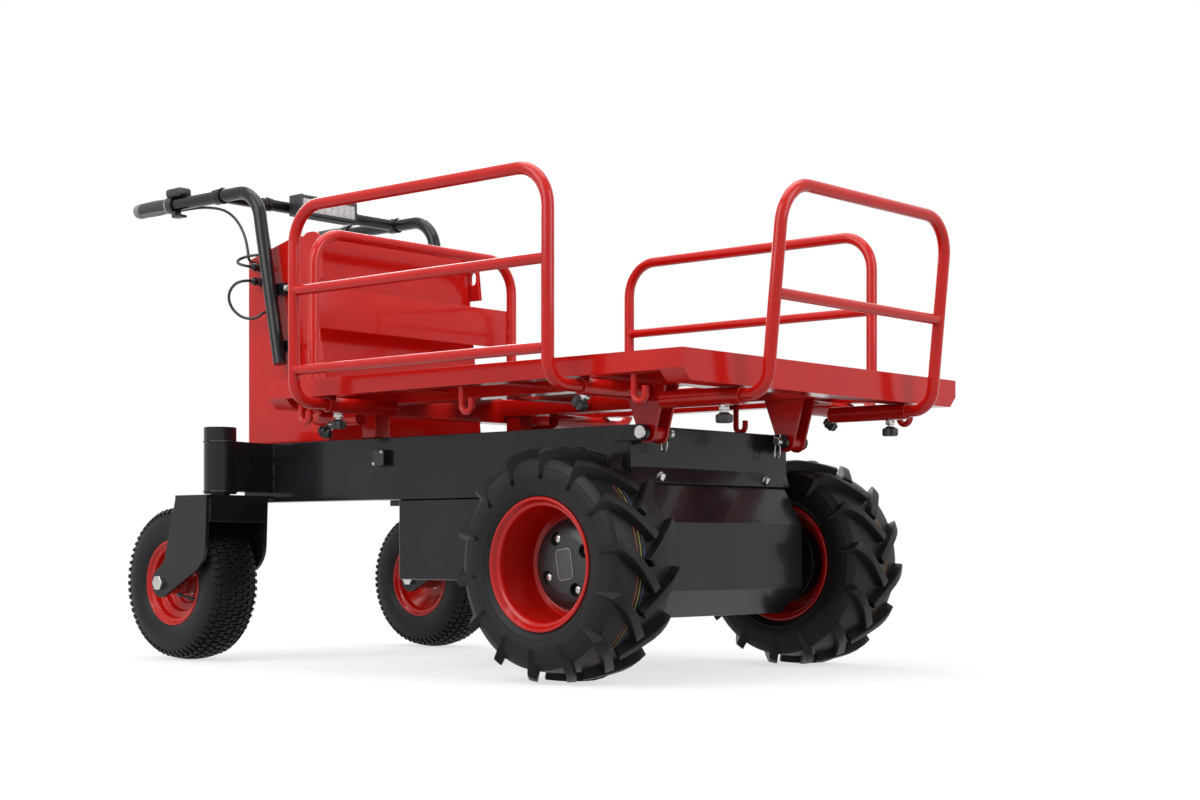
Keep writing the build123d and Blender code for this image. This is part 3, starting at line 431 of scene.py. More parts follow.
def tyre_wall(middle, bulge, sweep, rings, ring_size):
    """A tyre's bulging wall from the bead up, with fine raised rings."""
    start, turn, steps = sweep
    wall = []
    for step in range(steps + 1):
        angle = math.radians(start + turn * step / steps)
        radius = middle[1] + bulge[1] * math.sin(angle)
        across = middle[0] + bulge[0] * math.cos(angle)
        for ring in rings:
            across += ring_size[0] * math.exp(-(((radius - ring) / ring_size[1]) ** 2))
        wall.append((across, radius))
    return wall


def crown_radius(across):
    """The carcass's radius at a distance from the tyre's middle plane."""
    across = abs(across)
    if across < CROWN_HALF:
        return CROWN_TOP - CROWN_DROP * (across / CROWN_HALF) ** 2
    share = min(1.0, (across - WALL_MIDDLE[0]) / WALL_BULGE[0])
    return WALL_MIDDLE[1] + WALL_BULGE[1] * math.sqrt(1 - share * share)


def drive_section():
    """The carcass outline: a bead, a bulging wall with two fine rings, and a low crown."""
    near = [BEAD] + tyre_wall(WALL_MIDDLE, WALL_BULGE, WALL_SWEEP, WALL_RINGS, WALL_RING_SIZE)
    crown = [CROWN_HALF * (1 - step / 10) for step in range(1, 20)]
    return near + [(across, crown_radius(across)) for across in crown] + handed(reversed(near), -1)


def lug(centre, side):
    """One lug: a subdivided block laid slanting over the crown, tapered, with its outer end on the wall."""
    piece = primitive(bpy.ops.mesh.primitive_cube_add, size=1)
    edit_all()
    bpy.ops.mesh.subdivide(number_cuts=LUG_CUTS)
    bpy.ops.object.mode_set(mode="OBJECT")
    slant = Vector((LUG_REACH[1] - LUG_REACH[0], LUG_LEAD * LUG_TIP)).normalized()
    shoulder, fall_width, fall = LUG_SHOULDER
    for vertex in piece.data.vertices:
        share = vertex.co.y + 0.5
        lift = vertex.co.z + 0.5
        width = LUG_WIDTH * (LUG_TAPER[0] - LUG_TAPER[1] * lift) * (1 + LUG_FLARE * abs(share - 0.5))
        offset = vertex.co.x * width
        across = LUG_REACH[0] + share * (LUG_REACH[1] - LUG_REACH[0]) + slant.y * offset
        ahead = LUG_LEAD * share ** LUG_CURVE - slant.x * offset / LUG_TIP
        top = LUG_TIP - fall * max(0.0, (abs(across) - shoulder) / fall_width) ** 2
        foot = crown_radius(across) - LUG_SUNK
        radius = foot + lift * (top - foot)
        place = Vector((side * across, -radius * math.sin(ahead), radius * math.cos(ahead)))
        vertex.co = Vector(centre) + place
    close_mesh()
    round_edges(piece, LUG_EDGE, 2, 45)
    return piece


tyre_rubber = rubber("lug_rubber")
for name, side in SIDES.items():
    node = f"drive_tyre_{name}"
    body = f"drive_wheel_{name}"
    centre = node_centre(node)
    carcass = turned(f"{node}_carcass", drive_section(), centre, steps=DRIVE_STEPS)
    finish_piece(carcass, lined_rubber(f"lined_rubber_{name}", centre.x, side), "tyre", body, node)
    lugs = []
    pitch = math.tau / LUG_COUNT
    rest = pitch / 4 + LUG_LEAD * 3 / 4
    for lug_side, start in ((-1, -rest), (1, pitch / 2 - rest)):
        pattern = lug(centre, lug_side)
        lugs += ring_of(pattern, LUG_COUNT, centre, start)
        bpy.data.objects.remove(pattern)
    finish_piece(join_pieces(f"{node}_lugs", lugs), tyre_rubber, "tyre", body)
    random.seed(LUG_COUNT)
    hairs = []
    for index in range(HAIRS):
        across = random.uniform(-CROWN_HALF, CROWN_HALF)
        turn = random.uniform(0, math.tau)
        foot = centre + Vector((across, 0, crown_radius(across)))
        thick, tall = HAIR_SIZE
        hair = primitive(bpy.ops.mesh.primitive_cone_add, vertices=4, radius1=thick, radius2=thick / 2,
                         depth=tall, location=foot)
        hair.data.transform(about(foot, random.uniform(-HAIR_LEAN, HAIR_LEAN), "Y"))
        hair.data.transform(about(centre, turn))
        hairs.append(hair)
    finish_piece(join_pieces(f"{node}_hairs", hairs), tyre_rubber, "tyre", body)

# Drive rims: pressed steel rims with rolled lips and a deep dish, sprayed the same red as the bed.
DRIVE_RIM = (
    (0.07, 0.1165), (0.0728, 0.115), (0.0728, 0.111), (0.064, 0.106), (0.0625, 0.101),
    (0.056, 0.0985), (0.01, 0.0965), (-0.016, 0.0945), (-0.0235, 0.086), (-0.024, 0.017),
    (-0.03, 0.017), (-0.0295, 0.09), (-0.04, 0.0985), (-0.0625, 0.101), (-0.064, 0.106),
    (-0.0728, 0.111), (-0.0728, 0.115), (-0.07, 0.1165), (-0.0668, 0.112), (-0.0605, 0.104),
    (0.0605, 0.104), (0.0668, 0.112),
)
RIM_EDGE = 0.0012
for name, side in SIDES.items():
    node = f"drive_rim_{name}"
    centre = node_centre(node)
    rim = turned(f"{node}_pressing", handed(DRIVE_RIM, side), centre, steps=DRIVE_STEPS, rounding=RIM_EDGE)
    finish_piece(rim, red_paint, "red_paint", f"drive_wheel_{name}", node)

# Hub covers: moulded black covers deep in the rims, with a bolt in each of four pockets and, in the
# middle, a plain grey plate with a pale edging.
HUB_COVER = (
    (-0.0238, 0.0), (-0.0238, 0.08), (-0.016, 0.08), (-0.0085, 0.077), (-0.001, 0.064),
    (0.003, 0.05), (0.0045, 0.03), (0.0045, 0.0),
)
COVER_STEPS = 72
COVER_EDGE = 0.0015
BOLT = (0.013, 0.008)
BOLT_CHAMFER = 0.16
WASHER_THICK = 0.0024
WASHER_EDGE = 0.0004
WASHER_STEPS = 28
HUB_BOLTS = 4
HUB_BOLT_RING = 0.05
HUB_BOLT_TURN = math.radians(28)
POCKET_RADIUS = 0.0125
POCKET_FLOOR = -0.011
POCKET_DEPTH = 0.03
HUB_PLATE = (0.032, 0.051, 0.0022)
PLATE_RIM = 0.002
PLATE_TURN = math.radians(-9)
PLASTIC = (0.022, 0.021, 0.023)
PLASTIC_DEEP = (0.014, 0.013, 0.015)
ZINC = (0.62, 0.61, 0.59)
ZINC_DEEP = (0.45, 0.44, 0.43)
GREY = (0.06, 0.06, 0.063)
GREY_DEEP = (0.05, 0.05, 0.053)
EDGING = (0.26, 0.26, 0.265)
EDGING_DEEP = (0.21, 0.21, 0.215)
black_plastic = surface("moulded_black_plastic", PLASTIC, PLASTIC_DEEP, (0.3, 0.42), 700.0, 0.1)
bright_steel = surface("zinc_plated_steel", ZINC, ZINC_DEEP, (0.18, 0.34), 900.0, 0.08, metallic=1.0)
grey_plate = surface("plain_grey_plate", GREY, GREY_DEEP, (0.35, 0.5), 800.0, 0.05)
pale_edging = surface("pale_plate_edging", EDGING, EDGING_DEEP, (0.3, 0.45), 800.0, 0.05)


def facing(direction):
    """The turn that points a piece made along +Z in a direction."""
    return Vector(direction).to_track_quat("Z", "Y").to_matrix().to_4x4()


def hex_bolt(name, place, direction, width, height, washer=1.35):
    """A hexagon head with a chamfered top on a plain washer."""
    head = primitive(bpy.ops.mesh.primitive_cylinder_add, vertices=6, radius=width / math.sqrt(3),
                     depth=height, location=(0, 0, (height + WASHER_THICK) / 2))
    round_edges(head, height * BOLT_CHAMFER, 2)
    ring = primitive(bpy.ops.mesh.primitive_cylinder_add, vertices=WASHER_STEPS, radius=width / 2 * washer,
                     depth=WASHER_THICK, location=(0, 0, WASHER_THICK / 4))
    round_edges(ring, WASHER_EDGE)
    bolt = join_pieces(name, [head, ring])
    bolt.data.transform(Matrix.Translation(place) @ facing(direction))
    return bolt


def block(name, low, high, edge, segments=3, corner=0.0):
    """A block between two corners with rounded edges, and round corners if it is a plate facing along X."""
    low, high = Vector(low), Vector(high)
    piece = primitive(bpy.ops.mesh.primitive_cube_add, size=1, location=(low + high) / 2, scale=high - low)
    piece.name = name
    if corner:
        bpy.ops.object.mode_set(mode="EDIT")
        bpy.ops.mesh.select_mode(type="EDGE")
        bpy.ops.mesh.select_all(action="DESELECT")
        bpy.ops.object.mode_set(mode="OBJECT")
        for line in piece.data.edges:
            start, end = (piece.data.vertices[index].co for index in line.vertices)
            line.select = abs(start.x - end.x) > (high.x - low.x) / 2
        bpy.ops.object.mode_set(mode="EDIT")
        bpy.ops.mesh.bevel(offset=corner, segments=5)
        bpy.ops.mesh.select_mode(type="VERT")
        bpy.ops.object.mode_set(mode="OBJECT")
    round_edges(piece, edge, segments)
    return piece


for name, side in SIDES.items():
    node = f"drive_hub_{name}"
    body = f"drive_wheel_{name}"
    centre = node_centre(f"drive_tyre_{name}")
    outwards = Vector((side, 0, 0))
    cover = turned(f"{node}_cover", handed(HUB_COVER, side), centre, steps=COVER_STEPS, rounding=COVER_EDGE)
    bolts = []
    for index in range(HUB_BOLTS):
        turn = HUB_BOLT_TURN + index * math.tau / HUB_BOLTS
        spot = centre + Vector((0, HUB_BOLT_RING * math.sin(turn), HUB_BOLT_RING * math.cos(turn)))
        middle = spot + outwards * (POCKET_FLOOR + POCKET_DEPTH / 2)
        cutter = primitive(bpy.ops.mesh.primitive_cylinder_add, vertices=WASHER_STEPS, radius=POCKET_RADIUS,
                           depth=POCKET_DEPTH, location=middle, rotation=(0, math.radians(90), 0))
        pocket = cover.modifiers.new("pocket", "BOOLEAN")
        pocket.object = cutter
        select_only(cover)
        bpy.ops.object.modifier_apply(modifier=pocket.name)
        bpy.data.objects.remove(cutter)
        bolts.append(hex_bolt(f"hub_bolt_{index}", spot + outwards * POCKET_FLOOR, outwards, *BOLT))
    finish_piece(cover, black_plastic, "black_plastic", body, node)
    finish_piece(join_pieces(f"{node}_bolts", bolts), bright_steel, "steel", body)
    wide, tall, thick = HUB_PLATE
    face = centre + outwards * (HUB_COVER[-1][0] + thick / 4)
    for label, half_thick, rim, edge, corner, material in (
        ("plate", thick / 2, 0.0, 0.0007, 0.006, grey_plate),
        ("plate_frame", thick / 4, PLATE_RIM, 0.0005, 0.008, pale_edging),
    ):
        half = Vector((half_thick, wide / 2 + rim, tall / 2 + rim))
        plate = block(f"{node}_{label}", face - half, face + half, edge, corner=corner)
        plate.data.transform(about(face, PLATE_TURN))
        finish_piece(plate, material, "black_plastic", body)

# Caster tyres: small pneumatic tyres with a turf tread, rows of hooked blocks between slanting bars
# on the shoulders.
CASTER_STEPS = 88
CASTER_WALL = ((0.038, 0.118), (0.0195, 0.036), (-72, 124, 29), (0.101,), (0.0008, 0.0012))
CASTER_CROWN = 0.1562
CASTER_TIP = 0.16
CASTER_BEAD = (0.039, 0.079)
TREAD_COUNT = 62
TREAD_ROWS = (-0.032, -0.016, 0.0, 0.016, 0.032)
TREAD_CURVE = 4.2
BLOCK_SIZE = (0.0138, 0.0112)
BLOCK_NOTCH = (0.008, 0.0034)
BLOCK_HEIGHT = 0.0062
BLOCK_TAPER = (0.9, 0.82, 1)
BAR_SIZE = (0.0165, 0.0078)
BAR_SAG = 0.002
BAR_ARCH = 0.001
BAR_PLACE = (0.0467, 0.1448)
BAR_HEIGHT = 0.0058
BAR_LEAN = math.radians(37)


def caster_section():
    """The caster tyre's outline, one round sweep from bead to bead."""
    wall = tyre_wall(*CASTER_WALL)
    edge_across, edge_radius = wall[-1]
    crown = [edge_across * (1 - step / 8) for step in range(1, 16)]
    drop = (CASTER_CROWN - edge_radius) / edge_across ** 2
    near = [CASTER_BEAD] + wall
    top = [(across, CASTER_CROWN - drop * across ** 2) for across in crown]
    return near + top + handed(reversed(near), -1)


def tread_block(outline, height):
    """A tread block: a flat outline drawn up and narrowed towards its top."""
    drawn_line("tread_block", [(*point, 0) for point in (*outline, outline[0])])
    bpy.ops.mesh.edge_face_add()
    bpy.ops.mesh.extrude_region_move(TRANSFORM_OT_translate={"value": (0, 0, height)})
    bpy.ops.transform.resize(value=BLOCK_TAPER, center_override=(0, 0, height))
    close_mesh()
    return bpy.context.object


half_long, half_wide = BLOCK_SIZE[0] / 2, BLOCK_SIZE[1] / 2
notch_end, notch_half = half_long - BLOCK_NOTCH[0], BLOCK_NOTCH[1] / 2
HOOK_OUTLINE = (
    (-half_long, -half_wide), (half_long, -half_wide), (half_long, -notch_half), (notch_end, -notch_half),
    (notch_end, notch_half), (half_long, notch_half), (half_long, half_wide), (-half_long, half_wide),
)
bar_long, bar_wide = BAR_SIZE[0] / 2, BAR_SIZE[1] / 2
BAR_OUTLINE = (
    (-bar_long, -bar_wide - BAR_SAG), (0.0, -bar_wide + BAR_ARCH), (bar_long, -bar_wide - BAR_SAG),
    (bar_long, bar_wide - BAR_SAG), (0.0, bar_wide + BAR_ARCH), (-bar_long, bar_wide - BAR_SAG),
)
for name in SIDES:
    node = f"caster_tyre_{name}"
    body = f"caster_wheel_{name}"
    centre = node_centre(node)
    carcass = turned(f"{node}_carcass", caster_section(), centre, steps=CASTER_STEPS)
    finish_piece(carcass, tyre_rubber, "tyre", body, node)
    pitch = math.tau / TREAD_COUNT
    blocks = []
    hook = tread_block(HOOK_OUTLINE, BLOCK_HEIGHT)
    bar = tread_block(BAR_OUTLINE, BAR_HEIGHT)
    for row, across in enumerate(TREAD_ROWS):
        flip = Matrix.Rotation(math.pi * (row % 2), 4, "Z")
        tilt = Matrix.Rotation(2 * TREAD_CURVE * across, 4, "Y")
        foot = CASTER_TIP - BLOCK_HEIGHT - TREAD_CURVE * across ** 2
        stand = Matrix.Translation(centre + Vector((across, 0, foot)))
        blocks += ring_of(hook, TREAD_COUNT, centre, (row % 2) / 2 * pitch, stand @ tilt @ flip)
    for lean in (-1, 1):
        tilt = Matrix.Rotation(lean * BAR_LEAN, 4, "Y")
        stand = Matrix.Translation(centre + Vector((lean * BAR_PLACE[0], 0, BAR_PLACE[1])))
        blocks += ring_of(bar, TREAD_COUNT, centre, pitch / 4, stand @ tilt)
    bpy.data.objects.remove(hook)
    bpy.data.objects.remove(bar)
    finish_piece(join_pieces(f"{node}_tread", blocks), tyre_rubber, "tyre", body)

# Caster rims: stepped steel rims in red, each on a plated bearing tube, with a rubber valve stem.
CASTER_RIM = (
    (0.048, 0.0892), (0.0502, 0.088), (0.0502, 0.0845), (0.0435, 0.08), (0.042, 0.0745),
    (0.03, 0.072), (0.027, 0.06), (0.015, 0.057), (0.012, 0.044), (0.004, 0.04),
    (0.002, 0.024), (-0.002, 0.024), (0.0, 0.042), (-0.03, 0.072), (-0.042, 0.0745),
    (-0.0435, 0.08), (-0.0502, 0.0845), (-0.0502, 0.088), (-0.048, 0.0892), (-0.0465, 0.086),
    (-0.0405, 0.0785), (0.0405, 0.0785), (0.0465, 0.086),
)
HUB_TUBE = ((-0.069, 0.009), (-0.069, 0.022), (-0.064, 0.0235), (0.064, 0.0235), (0.069, 0.022),
            (0.069, 0.009))
VALVE = ((0.0, 0.0), (0.0, 0.005), (0.01, 0.0042), (0.016, 0.0032), (0.03, 0.003), (0.031, 0.0042),
         (0.04, 0.0042), (0.042, 0.003), (0.042, 0.0))
VALVE_FOOT = (0.026, -0.052, -0.036)
VALVE_WAY = (0.75, 0.42, 0.28)
for name, side in SIDES.items():
    node = f"caster_rim_{name}"
    body = f"caster_wheel_{name}"
    centre = node_centre(node)
    rim = turned(f"{node}_pressing", handed(CASTER_RIM, side), centre, steps=CASTER_STEPS, rounding=RIM_EDGE)
    finish_piece(rim, red_paint, "red_paint", body, node)
    tube = turned(f"{node}_bearing", HUB_TUBE, centre, rounding=0.0008)
    finish_piece(tube, bright_steel, "steel", body)
    foot, way = (Vector((side * along, *rest)) for along, *rest in (VALVE_FOOT, VALVE_WAY))
    valve = turned(f"{node}_valve", VALVE, (0, 0, 0), axis=(0, 0, 1), steps=20)
    valve.data.transform(Matrix.Translation(centre + foot) @ facing(way))
    finish_piece(valve, black_plastic, "black_rubber", body)
    bolt = f"caster_bolt_{name}"
    finish_piece(softened(bolt, PLATE_EDGE), bright_steel, "steel", f"fork_{name}", bolt)

# Guards: red tube loops round the bed, cold bent, with bars welded in and a bead left at each joint.
GUARD_TUBE = 0.011
GUARD_BAR = 0.0095
CORNER_BEND = 0.07
FOOT_BEND = 0.04
REAR_FOOT_BEND = 0.022
FRONT_LEAN = math.radians(5.6)
SIDE_BARS = (0.563, 0.711)
FRONT_BAR = 0.65
REAR_PLATE = (0.674, 0.757)
REAR_PLATE_THICK = 0.003
WELD = 0.0024
WELD_RIPPLE = 0.0025
WELD_UNEVEN = 0.3
BAR_WELD = (0.0089, 0.0016)
BAR_WELD_IN = GUARD_TUBE * 0.8
PLATE_WELD_HALF = 0.009
PLATE_WELD_INSET = 0.012
PLATE_WELD_OUT = 0.0025


def bent_tube(name, points, bends, radius, rings=7):
    """A round tube along straight runs, each inner corner bent to its own radius."""
    points = [Vector(point) for point in points]
    piece = drawn_line(name, points)
    for before, corner, after, bend in zip(points, points[1:], points[2:], bends):
        bpy.ops.mesh.select_all(action="DESELECT")
        bpy.ops.object.mode_set(mode="OBJECT")
        for vertex in piece.data.vertices:
            vertex.select = (vertex.co - corner).length < 0.00001
        bpy.ops.object.mode_set(mode="EDIT")
        turn = (corner - before).angle(after - corner)
        bpy.ops.mesh.bevel(offset=bend * math.tan(turn / 2), segments=10, affect="VERTICES")
    bpy.ops.object.mode_set(mode="OBJECT")
    bpy.ops.object.convert(target="CURVE")
    tube = bpy.context.object
    tube.data.bevel_depth = radius
    tube.data.bevel_resolution = rings
    tube.data.use_fill_caps = True
    bpy.ops.object.convert(target="MESH")
    close_mesh()
    return bpy.context.object


def uneven(piece, bead, seed):
    """Makes a weld bead a little uneven."""
    edit_all()
    bpy.ops.transform.vertex_random(offset=bead * WELD_UNEVEN, seed=seed)
    bpy.ops.object.mode_set(mode="OBJECT")
    return piece


def weld_ring(place, axis, radius, bead=WELD):
    """A weld bead round a joint."""
    ring = primitive(bpy.ops.mesh.primitive_torus_add, major_segments=40, minor_segments=8,
                     major_radius=radius, minor_radius=bead, location=place, rotation=facing(axis).to_euler())
    return uneven(ring, bead, 3)


def weld_seam(start, end, bead=WELD):
    """A straight weld bead between two points, rippled along its length."""
    start, end = Vector(start), Vector(end)
    ripples = round((end - start).length / WELD_RIPPLE)
    points = [start.lerp(end, step / ripples) for step in range(ripples + 1)]
    return uneven(bent_tube("seam", points, (), bead, rings=2), bead, 5)


def barred(name, start, end):
    """A straight bar with a weld bead where each end meets a tube."""
    start, end = Vector(start), Vector(end)
    along = (end - start).normalized()
    bar = bent_tube(name, (start, end), (), GUARD_BAR)
    beads = [weld_ring(place, along, *BAR_WELD) for place in (start + along * BAR_WELD_IN,
                                                              end - along * BAR_WELD_IN)]
    return [bar, *beads]


def filled(name, x_span, y_span, z_span, edge, segments=3):
    """A block that fills a span along each axis."""
    return block(name, *zip(x_span, y_span, z_span), edge, segments)


def around(middle, half):
    return middle - half, middle + half


def hoop(name, near_leg, far_leg, foot_bend=FOOT_BEND):
    """A tube up one leg, across and down the other; a leg is its foot's end, its bend and its top corner."""
    bends = (foot_bend, CORNER_BEND, CORNER_BEND, foot_bend)
    return bent_tube(name, (*near_leg, *reversed(far_leg)), bends, GUARD_TUBE)


for name, side in SIDES.items():
    node = f"guard_{name}"
    low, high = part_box(node)
    plane_x = side * (max(abs(low.x), abs(high.x)) - GUARD_TUBE)
    inner_x = side * min(abs(low.x), abs(high.x))
    front_y, rear_y = low.y + GUARD_TUBE, high.y - GUARD_TUBE
    foot_z, top_z = low.z + GUARD_TUBE, high.z - GUARD_TUBE
    legs = [((inner_x, y, foot_z), (plane_x, y, foot_z), (plane_x, y, top_z)) for y in (front_y, rear_y)]
    pieces = [hoop(f"{node}_tube", *legs)]
    for height in SIDE_BARS:
        pieces += barred("bar", (plane_x, front_y, height), (plane_x, rear_y, height))
    finish_piece(join_pieces(f"{node}_tubes", pieces), red_paint, "red_paint", node, node)

low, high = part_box("guard_front")
half_x = high.x - GUARD_TUBE
top_y, top_z = low.y + GUARD_TUBE, high.z - GUARD_TUBE
foot_z = low.z + GUARD_TUBE
base_y = top_y + (top_z - foot_z) * math.tan(FRONT_LEAN)
bar_y = base_y - (FRONT_BAR - foot_z) * math.tan(FRONT_LEAN)
legs = [((x, high.y, foot_z), (x, base_y, foot_z), (x, top_y, top_z)) for x in (-half_x, half_x)]
pieces = [hoop("front_loop", *legs)]
pieces += barred("front_bar", (-half_x, bar_y, FRONT_BAR), (half_x, bar_y, FRONT_BAR))
finish_piece(join_pieces("guard_front_tubes", pieces), red_paint, "red_paint", "guard_front", "guard_front")

low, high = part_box("guard_rear")
half_x = high.x - GUARD_TUBE
base_y, top_z = high.y - GUARD_TUBE, high.z - GUARD_TUBE
foot_z = low.z + GUARD_TUBE
legs = [((x, low.y, foot_z), (x, base_y, foot_z), (x, base_y, top_z)) for x in (-half_x, half_x)]
plate_y = around(base_y, REAR_PLATE_THICK / 2)
pieces = [hoop("rear_loop", *legs, REAR_FOOT_BEND),
          filled("rear_plate", (-half_x, half_x), plate_y, REAR_PLATE, BOARD_EDGE)]
for side in SIDES.values():
    edge_x = side * (half_x - GUARD_TUBE)
    seam_y = base_y - PLATE_WELD_OUT
    for height in (REAR_PLATE[0] + PLATE_WELD_INSET, sum(REAR_PLATE) / 2, REAR_PLATE[1] - PLATE_WELD_INSET):
        pieces.append(weld_seam(*[(edge_x, seam_y, end) for end in around(height, PLATE_WELD_HALF)]))
finish_piece(join_pieces("guard_rear_tubes", pieces), red_paint, "red_paint", "bed", "guard_rear")

# Clamp knobs: black star knobs on plated screws below the sleeves, with a nut welded to each sleeve.
SLEEVE = 0.015
SIDE_KNOB_INSET = 0.044
END_KNOB_INSET = 0.043
NUT = (0.017, 0.0075)
KNOB_SCREW = ((0.014, 0.0), (0.014, 0.0052), (0.0285, 0.0052), (0.0285, 0.0))
KNOB = (
    (0.0272, 0.0), (0.0272, 0.0085), (0.029, 0.009), (0.0305, 0.0135), (0.0325, 0.0148),
    (0.042, 0.0148), (0.045, 0.0128), (0.045, 0.0),
)
KNOB_NECK = 0.0095
KNOB_LOBES = 6
LOBE_DEPTH = 0.24


def star_knob():
    """A knob along +Z with rounded lobes, its neck left round."""
    piece = turned("knob", KNOB, (0, 0, 0), axis=(0, 0, 1), steps=60, rounding=0.0008)
    for vertex in piece.data.vertices:
        if math.hypot(vertex.co.x, vertex.co.y) > KNOB_NECK:
            turn = math.atan2(vertex.co.y, vertex.co.x)
            drawn = 1 - LOBE_DEPTH * (1 - math.cos(KNOB_LOBES * turn)) / 2
            vertex.co = (vertex.co.x * drawn, vertex.co.y * drawn, vertex.co.z)
    return piece


bed_low, bed_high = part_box("bed_frame")
front_low, front_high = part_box("guard_front")
rear_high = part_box("guard_rear")[1]
end_z = front_low.z + GUARD_TUBE
slant = math.sqrt(0.5)
knobs, screws = [], []
for name, side in SIDES.items():
    low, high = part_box(f"guard_{name}")
    side_x, side_z = side * (bed_high.x - SIDE_KNOB_INSET), low.z + GUARD_TUBE
    front_x, rear_x = side * (front_high.x - GUARD_TUBE), side * (rear_high.x - GUARD_TUBE)
    for place, way in (
        ((side_x, low.y + GUARD_TUBE, side_z), (0, slant, -slant)),
        ((side_x, high.y - GUARD_TUBE, side_z), (0, 0, -1)),
        ((front_x, bed_low.y + END_KNOB_INSET, end_z), (0, 0, -1)),
        ((rear_x, bed_high.y - END_KNOB_INSET, end_z), (side * slant, 0, -slant)),
    ):
        knobs.append(star_knob())
        screws.append(turned("screw", KNOB_SCREW, (0, 0, 0), axis=(0, 0, 1), steps=24))
        for piece in (knobs[-1], screws[-1]):
            piece.data.transform(Matrix.Translation(place) @ facing(way))
        screws.append(hex_bolt("nut", Vector(place) + Vector(way) * SLEEVE, way, *NUT, washer=1.0))
finish_piece(join_pieces("clamp_stars", knobs), black_plastic, "black_plastic", "bed", "clamp_knobs")
finish_piece(join_pieces("clamp_screws", screws), bright_steel, "steel", "bed")

# Hinge pins: plated pins through the ears, each held by a spring clip past its inner ear.
CLIP_WIRE = 0.0012
CLIP_X = 0.169
CLIP_ROUTE = ((0, 0.015), (0, -0.024), (0.004, -0.031), (0.012, -0.031), (0.013, -0.02), (0.01, -0.004),
              (0.014, 0.012))
CLIP_BENDS = (0.003, 0.003, 0.003, 0.006, 0.006)
finish_piece(softened("hinge_pins", PLATE_EDGE), bright_steel, "steel", "chassis", "hinge_pins")
pin = node_centre("hinge_pins")
clips = []
for side in SIDES.values():
    route = [(side * CLIP_X, pin.y + back, pin.z + up) for back, up in CLIP_ROUTE]
    clips.append(bent_tube("clip", route, CLIP_BENDS, CLIP_WIRE, rings=2))
finish_piece(join_pieces("hinge_clips", clips), bright_steel, "steel", "chassis")

# Chassis fittings: welds on the outriggers, head tubes and forks, plated bolts on the front plate, the
# saddles and the charging socket, and the socket's cap.
HEAD_PLACE = (0.347, 0.058)
HEAD_ENDS = (0.347, 0.449)
HEAD_WELD = 0.0325
OUTRIGGER_X = 0.232
OUTRIGGER_HALF = 0.03
OUTRIGGER_ENDS = (0.349, 0.447)
FORK_PLATE = 0.008
FORK_PLATE_Z = 0.331
FORK_DEPTH = 0.104
FORK_WEB = 0.047
FORK_WELD = 0.0019
FORK_WELD_INSET = (0.004, 0.003)
FRONT_BOLT = (0.157, 0.004, 0.36)
FRONT_BOLT_WAY = (0, -1, -0.28)
SADDLE_FACE = 0.2357
SADDLE_BOLTS = ((0.396, 0.77), (0.45, 0.77), (0.371, 0.65), (0.425, 0.65))
SADDLE_BOLT = (0.01, 0.006)
SOCKET_BOLT = (0.0055, 0.003)
SOCKET_BOLT_PLACE = (0.0005, 0.0115)
SOCKET_CAP = ((0.0, 0.0), (0.0, 0.0105), (0.004, 0.0105), (0.0058, 0.009), (0.0058, 0.0))
SOCKET_CAP_IN = 0.0062
beads = []
for name, side in SIDES.items():
    head = Vector((side * HEAD_PLACE[0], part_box(f"caster_fork_{name}")[0].y + HEAD_PLACE[1], 0))
    for height in HEAD_ENDS:
        beads.append(weld_ring((head.x, head.y, height), (0, 0, 1), HEAD_WELD))
    for way in (-1, 1):
        edge_y = head.y + way * OUTRIGGER_HALF
        beads.append(weld_seam(*[(side * OUTRIGGER_X, edge_y, height) for height in OUTRIGGER_ENDS]))
finish_piece(join_pieces("chassis_welds", beads), black_paint, "black_paint", "chassis")
for name, side in SIDES.items():
    low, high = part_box(f"caster_fork_{name}")
    outer_x = side * max(abs(low.x), abs(high.x))
    corner_x = outer_x - side * FORK_PLATE
    run = (low.y + FORK_WELD_INSET[0], low.y + FORK_DEPTH - FORK_WELD_INSET[0])
    rise = (FORK_PLATE_Z - FORK_WEB + FORK_WELD_INSET[1], FORK_PLATE_Z - FORK_WELD_INSET[1])
    seams = [weld_seam(*[(outer_x, place, FORK_PLATE_Z) for place in run], FORK_WELD),
             weld_seam(*[(corner_x, low.y, place) for place in rise], FORK_WELD)]
    finish_piece(join_pieces(f"fork_welds_{name}", seams), black_paint, "black_paint", f"fork_{name}")
bolts = []
plate_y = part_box("front_plate")[0].y + FRONT_BOLT[1]
for side in SIDES.values():
    place = (side * FRONT_BOLT[0], plate_y, FRONT_BOLT[2])
    bolts.append(hex_bolt("plate_bolt", place, FRONT_BOLT_WAY, *BOLT))
for side in SIDES.values():
    for place in SADDLE_BOLTS:
        bolts.append(hex_bolt("saddle_bolt", (side * SADDLE_FACE, *place), (side, 0, 0), *SADDLE_BOLT))
socket_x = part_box("charge_socket")[0].x
socket = node_centre("charge_socket")
sunk, out = SOCKET_BOLT_PLACE
for way in (-out, out):
    place = (socket_x + sunk, socket.y - way, socket.z + way)
    bolts.append(hex_bolt("socket_bolt", place, (-1, 0, 0), *SOCKET_BOLT))
finish_piece(join_pieces("chassis_bolts", bolts), bright_steel, "steel", "chassis")
socket_body = softened("charge_socket", PLATE_EDGE)
finish_piece(socket_body, black_plastic, "black_plastic", "chassis", "charge_socket")
cap_place = (socket_x + SOCKET_CAP_IN, socket.y, socket.z)
cap = turned("socket_cap", SOCKET_CAP, cap_place, axis=(-1, 0, 0), steps=36)
finish_piece(cap, black_plastic, "black_plastic", "chassis")

